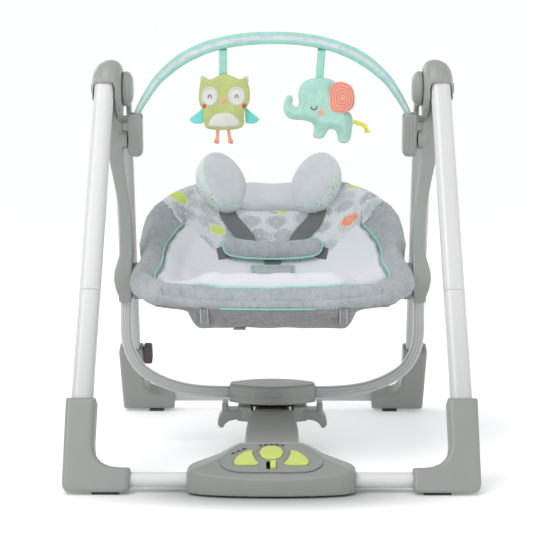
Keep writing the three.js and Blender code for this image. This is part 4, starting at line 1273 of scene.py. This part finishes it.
def felt_patch(name, target, outline, material, thick=0.9, rings=7, stitch=0.0):
    """A felt shape sewn on the front of a plush toy, following its surface."""
    drop = front_of(target)
    path = smooth_curve([(x, 0, z) for x, z in outline], 5, closed=True)
    centre = sum(path, Vector()) / len(path)
    points, faces = [], []
    for layer in (0, 1):
        for ring in range(rings, 0, -1):
            share = ring / rings
            for p in path:
                q = centre + (p - centre) * share
                ground = drop(q.x * MM, q.z * MM)
                rounding = math.sqrt(max(0, 1 - max(0, (share - 0.8) / 0.2) ** 2))
                wave = stitch * math.cos(share * math.pi * 5)
                lift = -1.0 if layer else thick * rounding + wave * (share < 0.95)
                points.append(Vector((ground.x, ground.y - lift * MM, ground.z)))
        ground = drop(centre.x * MM, centre.z * MM)
        points.append(Vector((ground.x, ground.y - (-1.0 if layer else thick) * MM, ground.z)))
    count = len(path)
    layer_size = rings * count + 1
    for layer in (0, 1):
        base = layer * layer_size
        for ring in range(rings - 1):
            for k in range(count):
                n = (k + 1) % count
                a, b = base + ring * count, base + (ring + 1) * count
                face = (a + k, a + n, b + n, b + k)
                faces.append(face if layer == 0 else face[::-1])
        last, middle = base + (rings - 1) * count, base + layer_size - 1
        for k in range(count):
            face = (last + k, last + (k + 1) % count, middle)
            faces.append(face if layer == 0 else face[::-1])
    for k in range(count):
        n = (k + 1) % count
        faces.append((k, k + layer_size, n + layer_size, n))
    return make_object(name, points, faces, material)


def thread_line(name, target, stops, radius, material, closed=False, lift=0.0):
    """Embroidery thread on the front of a toy."""
    drop = front_of(target)
    path = smooth_curve([(x, 0, z) for x, z in stops], 6, closed)
    path = [drop(p.x * MM, p.z * MM) + Vector((0, -(radius * 0.6 + lift) * MM, 0)) for p in path]
    return cord(name, path, radius, 8, material, closed=closed)


def trail(start, *stops):
    """Places given in mm from the start."""
    return [start + Vector(stop) * MM for stop in stops]


def oval(x, z, wide, tall, count=12):
    angles = [2 * math.pi * k / count for k in range(count)]
    return [(x + wide * math.cos(a), z + tall * math.sin(a)) for a in angles]


TOY_LEAN = math.radians(8)
TOY_PIVOT = Vector(JOINTS["toy_bar_tilt"]["pos_m"])
# Half of the arch, from the middle out to the tip: x, height over the pivot (mm).
BAR_ARCH = ((0, 163), (50, 160.3), (94, 151.5), (128, 138.6), (150, 126), (168, 112), (187, 93.5),
            (206, 65.5), (216, 48), (221.9, 33))
BAR_TALL = 19.5
BAR_DEEP = 11
STRIPE_HALF = 3.1
TOY_X = JOINTS["elephant_sway"]["pos_m"][0] / MM
HANG = Vector(JOINTS["elephant_sway"]["pos_m"])
TOY_Y = (HANG.y - HUB.y) / MM


def make_toy_bar():
    """A flat padded sleeve, broad over the top and turned edge-on at the clips, with a printed stripe."""
    stops = [(-x, h) for x, h in reversed(BAR_ARCH[1:])] + list(BAR_ARCH)
    path = smooth_curve([TOY_PIVOT + Vector((x, -h * math.sin(TOY_LEAN), h * math.cos(TOY_LEAN))) * MM
                         for x, h in stops], 8)
    outline = rounded_section(BAR_DEEP, BAR_TALL, 4.5, 5)
    section = []
    for point, following in zip(outline, outline[1:] + outline[:1]):
        section.append(point)
        if abs(point[0] - following[0]) < 0.01 and abs(point[1] - following[1]) > 1:
            turn = 1 if following[1] > point[1] else -1
            section.extend((point[0], turn * STRIPE_HALF * k) for k in (-1, -0.3, 0.3, 1))
    flat = [i for i, (a, b) in enumerate(section)
            if abs(a) > BAR_DEEP / 2 - 0.01 and abs(b) <= STRIPE_HALF + 0.01
            and abs(section[(i + 1) % len(section)][1]) <= STRIPE_HALF + 0.01]
    section = [(a * MM, b * MM) for a, b in section]

    def turn(k):
        side = abs(2 * k - 1)
        narrow = ease(side, 0.35, 1)
        return 1 + 0.3 * narrow, 1 - 0.52 * narrow
    bar = sweep("toy_bar_sleeve", path, section, "mint_fabric", side=(0, 1, 0), scale=turn)
    bar.data.materials.append(MATERIALS["bar_stripe"])
    around = len(section)
    for face in bar.data.polygons:
        face.material_index = int(face.index < around * (len(path) - 1) and face.index % around in flat)
    for vertex in bar.data.vertices:
        vertex.co += Vector((0, 1, 1)) * 0.35 * MM * ripple(vertex.co, 0.014, 5)
    place_piece(bar, "toy_bar", ["toy_bar"])


def make_ribbon(name, side, top_of_toy, body, lean=0.0):
    """A doubled ribbon sewn under the bar and into the toy's top."""
    high = HANG.z / MM - 9.2
    pieces = []
    for layer, y in (("front", -0.9), ("back", 0.9)):
        path = [at(side * TOY_X + lean * (1 - k), TOY_Y + y * (1 + 0.8 * math.sin(3.1 * k)),
                   top_of_toy + (high - top_of_toy) * k) for k in np.linspace(0, 1, 9)]
        section = rounded_section(13 * MM, 1.1 * MM, 0.4 * MM, 2)
        pieces.append(sweep(f"{name}_{layer}", path, section, "mint_fabric", side=(1, 0, 0)))
    tack = [at(side * TOY_X, TOY_Y - 1.6, high - drop) for drop in (0, 1.2, 2.4)]
    section = rounded_section(12.6 * MM, 1.2 * MM, 0.4 * MM, 2)
    pieces.append(sweep(f"{name}_tack", tack, section, "ribbon_tack", side=(1, 0, 0)))
    place_piece(joined(name, pieces), body)


# Outlines of the toys: x from the toy's middle, height (mm).
OWL_X = 2 - TOY_X
OWL = ((-39, 593), (-34, 599), (-26, 597), (-12, 601), (0, 604), (12, 601), (26, 596), (34, 598), (38, 590),
       (42, 576), (42.5, 560), (38, 543), (32, 521), (24, 514), (0, 512), (-26, 514), (-33, 521), (-38, 543),
       (-42.5, 560), (-42, 576))
OWL_WING = ((34, 548), (44, 541), (56, 531), (51, 524), (40, 523), (33, 526))
OWL_EYE = (13.6, 15.2)
OWL_EYE_X = {"left": -23, "right": 20}
OWL_LID = ((-2.6, 563), (-2, 566.6), (0, 568.4), (2, 566.6), (2.6, 563))
OWL_EAR = ((30, 594), (34, 599.5), (38.5, 598), (38, 588))
OWL_BEAK = ((-5, 561.5), (1, 562), (2.5, 558.5), (-1.5, 553.5), (-5.5, 557.5))
OWL_BELLY = ((-25, 520), (-22, 529), (-14, 537), (0, 540), (13, 537), (21, 530), (24, 521),
             (13, 518.5), (0, 518), (-14, 518.5))
OWL_LEG_LEAN = {"left": -1.5, "right": 3}


def moved(outline, x, side=1):
    """An outline moved across by x, and mirrored when side is -1."""
    return [(x + side * px, pz) for px, pz in outline]


def make_owl(waiting):
    body = outline_block("owl_body", moved(OWL, OWL_X), TOY_Y, 12, "owl_plush")
    waiting.append(Plump(body, 0.0028, 5.0, 0.009))
    wings = []
    for name, side in SIDES:
        wing = outline_block(f"owl_wing_{name}", moved(OWL_WING, OWL_X, side), TOY_Y + 2, 3, "teal_felt")
        waiting.append(Plump(wing, 0.0016, 2.0, 0.001))
        wings.append(wing)
    return body, wings


def owl_face(body, tag, side):
    """One eye with its stitches and lid, a cheek and an ear tip."""
    eye_x = OWL_X + OWL_EYE_X[tag]
    eye = felt_patch(f"owl_eye_{tag}", body, oval(eye_x, 566, *OWL_EYE), "white_felt", 1.0, 9, 0.25)
    pieces = [eye]
    for share in (0.86, 0.62):
        ring = oval(eye_x, 566, *(size * share for size in OWL_EYE))
        pieces.append(thread_line(f"owl_eye_stitch_{tag}_{share}", pieces[-1], ring, 0.3, "white_felt", True))
    pieces.append(thread_line(f"owl_lid_{tag}", body, moved(OWL_LID, eye_x), 0.5, "dark_thread", lift=1.6))
    cheek = oval(OWL_X + side * 32, 551, 3.6, 4.4, 8)
    pieces.append(felt_patch(f"owl_cheek_{tag}", body, cheek, "red_felt", 0.6, 4))
    ear = outline_block(f"owl_ear_{tag}", moved(OWL_EAR, OWL_X, side), TOY_Y + 1, 5, "white_felt", 4)
    modify(ear, "BEVEL", width=0.0012, segments=3)
    return pieces + [baked(ear)]


def owl_leg(tag, side):
    lean = OWL_LEG_LEAN[tag]
    hip = at(OWL_X + side * 9 - 2, TOY_Y, 517)
    path = trail(hip, (0, 0, 0), (0, 0, -8), (lean * 0.4, -0.5, -16), (lean, -1, -23))
    leg = cord(f"owl_leg_{tag}", smooth_curve(path, 5), 3.5, 10, "coral_felt",
               scale=lambda k: 1 - 0.25 * math.sin(math.pi * k) + 0.3 * ease(k, 0.7, 0.95))
    foot_path = trail(path[-1], (-3.5, -3, 0.8), (0, -1, 0), (3.5, -2, -1.5))
    foot = cord(f"owl_foot_{tag}", smooth_curve(foot_path, 6), 3.2, 10, "coral_felt",
                scale=lambda k: 0.6 + 1.6 * k * (1 - k))
    return leg, foot


def finish_owl(body, wings):
    place_piece(body, "owl", ["owl_toy"])
    for wing in wings:
        place_piece(wing, "owl", ())
    patches = []
    for tag, side in SIDES:
        patches.extend(owl_face(body, tag, side))
    patches.append(felt_patch("owl_beak", body, moved(OWL_BEAK, OWL_X), "coral_felt", 0.9, 5))
    patches.append(felt_patch("owl_belly", body, moved(OWL_BELLY, OWL_X), "white_felt", 0.9, 7))
    for tag, side in SIDES:
        patches.extend(owl_leg(tag, side))
    for patch in patches:
        place_piece(patch, "owl")
    make_ribbon("owl_ribbon", -1, 600, "owl")


ELEPHANT = ((-5, 598), (12, 597), (24, 589), (34, 577), (39, 559), (43, 546), (50, 541), (53.5, 530),
            (52, 512), (49, 496), (41, 490), (31, 492), (27, 501), (21, 508), (10, 509), (5, 501),
            (0, 495.5), (-11, 496), (-16, 501), (-13, 510), (-17, 519), (-28, 524), (-42, 527),
            (-55, 531), (-64, 542), (-66, 556), (-63, 567), (-57, 569), (-53, 563), (-53, 555),
            (-46, 552), (-41, 558), (-39, 574), (-33, 588), (-20, 596))
EAR = ((13, 580), (20, 588), (31, 589.5), (42, 586), (50, 577), (52.5, 563), (51, 550), (43, 542), (31, 539),
       (18, 541), (12.5, 548), (12, 564))


ELEPHANT_LID = ((-18, 550), (-16.5, 546.5), (-13, 545), (-9.5, 546.5), (-8, 550))
# Middles of the feet, and of the ear's stitches.
ELEPHANT_TOES = (("front", -9, 499), ("rear", 38, 494.5))
EAR_MIDDLE = (32.5, 564)


def make_elephant(waiting):
    body = outline_block("elephant_body", moved(ELEPHANT, TOY_X), TOY_Y, 12, "elephant_plush", 4)
    waiting.append(Plump(body, 0.0026, 5.0, 0.009))
    ear = outline_block("elephant_ear", moved(EAR, TOY_X), TOY_Y - 14.5, 3.2, "coral_felt", 5)
    waiting.append(Plump(ear, 0.0016, 3.0, 0.0015))
    return body, ear


def finish_elephant(body, ear):
    x = TOY_X
    place_piece(body, "elephant", ["elephant_toy"])
    place_piece(ear, "elephant", ())
    pieces = []
    ear_x, ear_z = EAR_MIDDLE
    for k, share in enumerate((0.86, 0.66, 0.46, 0.26)):
        ring = [(x + ear_x + (px - ear_x) * share, ear_z + (pz - ear_z) * share) for px, pz in EAR]
        pieces.append(thread_line(f"elephant_ear_stitch_{k}", ear, ring, 0.4, "coral_thread", True))
    pieces.append(felt_patch("elephant_cheek", body, oval(x - 1.5, 540, 4.6, 5, 10), "coral_felt", 0.7, 4))
    pieces.append(thread_line("elephant_lid", body, moved(ELEPHANT_LID, x), 0.75, "dark_thread"))
    for tag, px, pz in ELEPHANT_TOES:
        for k in (-1, 0, 1):
            toe = [(x + px + k * 4.6 + 2.2 * math.cos(a), pz + 2.6 * math.sin(a))
                   for a in np.linspace(0.2, 2.9, 6)]
            pieces.append(thread_line(f"elephant_toe_{tag}_{k}", body, toe, 0.5, "pale_thread"))
    path = trail(at(x + 51, TOY_Y, 526), (0, 0, 0), (7, -1, -2), (15, -1, -5), (20, 0, -9))
    pieces.append(cord("elephant_tail", smooth_curve(path, 12), 3.3, 10, "yellow_cord",
                       scale=lambda k: 1 + 0.14 * math.sin(k * 40) + 0.35 * ease(k, 0.85, 0.97)))
    for k in range(5):
        bend = (k - 2) * 1.6
        strand = trail(path[-1], (0, 0, 0), (2 + bend * 0.4, -bend, -4), (2.5 + bend, -bend * 0.6, -8))
        pieces.append(cord(f"elephant_tassel_{k}", smooth_curve(strand, 4), 1.8, 6, "yellow_cord"))
    for piece in pieces:
        place_piece(piece, "elephant")
    make_ribbon("elephant_ribbon", 1, 592, "elephant", -4)


# ------------------------------------------------------------------ moulded shells
# Softened CAD pieces: name, its nodes, body, voxel mm, smoothing passes. A star is left and then right.
SHELLS = (
    ("front_foot_*_shell", ("front_foot_*",), "front_frame", 1.6, 7),
    ("rear_foot_*_shell", ("rear_foot_*",), "rear_frame", 1.7, 14),
    ("hub_*_shell", ("hub_housing_*",), "front_frame", 1.2, 10),
    ("rear_hub_*_shell", ("rear_hub_*",), "rear_frame", 1.1, 6),
    ("swing_arm_*_shell", ("swing_arm_*",), "swing", 1.3, 9),
    ("magnet_shell", ("magnet_housing_top", "magnet_housing_base"), "swing", 1.2, 6),
    ("drive_shell", ("neck_cover",), "front_frame", 1.2, 7),
    ("coil_shell", ("coil_housing",), "front_frame", 1.2, 6),
    ("control_shell", ("control_housing_top", "control_housing_base"), "front_frame", 1.1, 8),
    ("panel_shell", ("control_panel",), "front_frame", 0.6, 3),
    ("toy_clip_*_shell", ("toy_clip_*",), "toy_bar", 0.9, 5),
)


def make_shells():
    for name, nodes, body, voxel, passes in SHELLS:
        for tag in ("left", "right") if "*" in name else ("",):
            real = [node.replace("*", tag) for node in nodes]
            shell = moulded(name.replace("*", tag), real, "grey_plastic", voxel * MM, passes)
            place_piece(shell, body, real)


CLIP_RIBS = (213.5, 218.8, 224.1, 229.4)


def make_clip_ribs():
    """Upright ribs down the front of the toy bar clips."""
    for name, side in SIDES:
        drop = front_of(bpy.data.objects[f"toy_clip_{name}_shell"])
        for k, x in enumerate(CLIP_RIBS):
            path = [drop(side * x * MM, z * MM) + Vector((0, 0.3, 0)) * MM for z in np.linspace(477, 538, 15)]
            rib = cord(f"clip_rib_{name}_{k}", path, 1.5, 8, "grey_plastic",
                       scale=lambda share: 0.4 + 0.6 * math.sin(math.pi * share) ** 0.5)
            place_piece(rib, "toy_bar")


# How much a fold button's hidden end narrows, and between which places across (mm), so that it clears the
# rounded bore of the hub when it is pressed.
BUTTON_TAPER = 0.3
BUTTON_HIDDEN = (288, 283)
# Control buttons: node, voxel mm, smoothing passes.
BUTTONS = (("power_button", 0.6, 4), ("volume_button", 0.5, 3), ("melody_button", 0.5, 3),
           ("mode_switch", 0.4, 3))


def make_buttons():
    for node, voxel, passes in BUTTONS:
        button = moulded(node + "_cap", (node,), "lime_button", voxel * MM, passes)
        place_piece(button, node, (node,))
    for name, _ in SIDES:
        node = "fold_button_" + name
        button = moulded(node + "_cap", (node,), "dark_grey_plastic", 0.5 * MM, 4)
        for vertex in button.data.vertices:
            shrink = 1 - BUTTON_TAPER * ease(abs(vertex.co.x) / MM, *BUTTON_HIDDEN)
            vertex.co.y = HUB.y + (vertex.co.y - HUB.y) * shrink
            vertex.co.z = HUB.z + (vertex.co.z - HUB.z) * shrink
        place_piece(button, node, (node,))


# The control panel's face: its middle (mm), its slope and how far it stands over its middle.
PANEL = {"y": -351, "z": 46, "tilt": math.radians(23.2), "face": 3.0}
# A direction that is never along a mark on the panel.
OVER_PANEL = (0, -0.4, 0.9)


def on_panel(x, y, lift):
    c, s = math.cos(PANEL["tilt"]), math.sin(PANEL["tilt"])
    up = PANEL["face"] + lift
    return at(x, PANEL["y"] + y * c - up * s, PANEL["z"] + y * s + up * c)


def panel_arc(x, y, radius, angles, lift):
    return [on_panel(x + radius * math.cos(a), y + radius * math.sin(a), lift) for a in angles]


def make_icons():
    """Small generic marks above the buttons: arcs that grow from left to right."""
    marks = [(-14.8 + 7.4 * k, 30.2 - 0.48 * (k - 2) ** 2, 2.1 + 0.12 * k, 0.0) for k in range(5)]
    marks += [(-53 + 7.5 * k, 9 + 5.2 * k, 2.2 + 0.15 * k, 0.5) for k in range(3)]
    for i, (x, y, size, turn) in enumerate(marks):
        path = panel_arc(x, y, size, [math.pi * k / 8 + turn for k in range(9)], 0.1)
        mark = cord(f"panel_mark_{i}", path, 1.05, 6, "icon_ink", OVER_PANEL)
        place_piece(mark, "front_frame")
    for name, side in SIDES:
        angles = [math.pi / 2 - side * math.radians(32 + 106 * k / 16) for k in range(17)]
        path = panel_arc(0, 9, 22.5, angles, 0.2)
        ridge = cord(f"panel_ridge_{name}", path, 1.1, 8, "grey_plastic", OVER_PANEL)
        place_piece(ridge, "front_frame")


# A swing tube's middle line, from the arm down to the middle: x, height. Its section: depth, width, corner,
# and how far the grooves are from its middle. The ends hide in the arm and in the housing. All in mm.
TUBE_PATH = ((239, 262), (239, 225), (239, 187), (236, 162), (228, 142), (216, 125), (199, 112), (178, 101.5),
             (156, 94), (130, 89), (100, 86.5), (62, 86))
TUBE_WIDE = 17.5
TUBE_DEEP = 19
TUBE_CORNER = 4.6
TUBE_GROOVE = 2.6
TUBE_INNER_END = 63.2
TUBE_TOP_END = 254.5


def make_swing_tubes():
    """Bent oval tubes with two fine grooves along the front and the back."""
    outline = rounded_section(TUBE_DEEP, TUBE_WIDE, TUBE_CORNER, 6)
    section = []
    for point, following in zip(outline, outline[1:] + outline[:1]):
        section.append(point)
        if abs(point[1] - following[1]) > 4:
            face = 1 if point[0] > 0 else -1
            turn = 1 if following[1] > point[1] else -1
            for middle in (-TUBE_GROOVE, TUBE_GROOVE):
                section.extend((point[0] - face * deep, turn * (middle + step))
                               for step, deep in ((-0.8, 0), (-0.4, 0.5), (0.4, 0.5), (0.8, 0)))
    section = [(a * MM, b * MM) for a, b in section]
    for name, side in SIDES:
        path = smooth_curve([at(side * x, 0, z) for x, z in TUBE_PATH], 7)
        path = [p for p in path if TUBE_INNER_END * MM < abs(p.x) and p.z < TUBE_TOP_END * MM]
        tube = sweep(f"swing_tube_{name}_bent", path, section, "swing_tube")
        place_piece(tube, "swing", [f"swing_tube_{name}"])


# Legs: top (y, z), foot bar (y, z), middle x at the top, x growth per mm.
LEGS = {
    "front": {"top": (-35, 590), "bar": (-350, 17), "x": 267, "spread": 0.0095, "body": "front_frame"},
    "rear": {"top": (30, 575), "bar": (318, 27), "x": 247.5, "spread": 0.0195, "body": "rear_frame"},
}
# Leg tubes: leg, node, material, first and last place along the leg (mm under its top).
LEG_TUBES = (
    ("front", "front_leg_upper", "light_tube", -6, 366.7),
    ("front", "front_leg_lower", "light_tube", 367.2, 582),
    ("rear", "rear_leg", "grey_tube", 49, 553),
)
LEG_SECTION = (31, 24, 9.8)
# How a leg tube turns in at its ends: share of its width at each of the last steps.
LEG_ENDS = (0.965, 0.99)


def leg_place(leg, side, along):
    """The middle of a leg, so many mm below its top."""
    shape = LEGS[leg]
    down = Vector((shape["bar"][0] - shape["top"][0], shape["bar"][1] - shape["top"][1])).normalized()
    x = side * (shape["x"] + shape["spread"] * along)
    return at(x, shape["top"][0] + down.x * along, shape["top"][1] + down.y * along)


def make_legs():
    """Oval tubes with softly turned-in ends, so a fine line shows where two meet."""
    width, depth, corner = LEG_SECTION
    section = rounded_section(width * MM, depth * MM, corner * MM, 8)
    for leg, node_name, material, start, end in LEG_TUBES:
        for name, side in SIDES:
            node = f"{node_name}_{name}"
            steps = [start, start + 0.4, start + 1, *np.linspace(start + 6, end - 6, 12)]
            steps += [end - 1, end - 0.4, end]
            path = [leg_place(leg, side, k) for k in steps]
            shrink = {i: share for k, share in enumerate(LEG_ENDS) for i in (k, len(steps) - 1 - k)}
            tube = sweep(f"{node}_tube", path, section, material, side=(1, 0, 0),
                         scale=lambda k, n=len(steps): shrink.get(round(k * (n - 1)), 1))
            place_piece(tube, LEGS[leg]["body"], [node])


# ------------------------------------------------------------------ the run
make_camera()
make_studio()
make_materials()
make_floor()
for entry in frame["record"]["subparts"]:
    node = frame["nodes"][entry["node"]]
    node.data.materials.clear()
    # The front cross tube takes a lighter copy of its tube paint as painted light.
    slot = "floor_tube" if entry["node"] == "front_cross_tube" else entry["material_slot"]
    node.data.materials.append(MATERIALS[slot])

waiting = []
cover, liner = make_seat(waiting)
lobes = [make_lobe(side) for _, side in SIDES]
for lobe in lobes:
    waiting.append(Plump(lobe[0], 0.0035, 4.0, 0.006))
middle = make_pillow_middle()
waiting.append(Plump(middle, 0.0035, 3.0, 0.004))
chest, cuff = make_harness(waiting)
owl, wings = make_owl(waiting)
elephant, ear = make_elephant(waiting)
plump(waiting)
finish_seat(cover, liner)
for lobe in lobes:
    finish_lobe(*lobe)
    place_piece(lobe[0], "seat", ["head_pillow"])
place_piece(middle, "seat", ())
finish_harness(chest, cuff)
finish_owl(owl, wings)
finish_elephant(elephant, ear)
make_toy_bar()
make_swing_tubes()
make_legs()
make_frame_sleeve()
make_pouch_details(cover)
make_shells()
make_clip_ribs()
make_buttons()
make_icons()
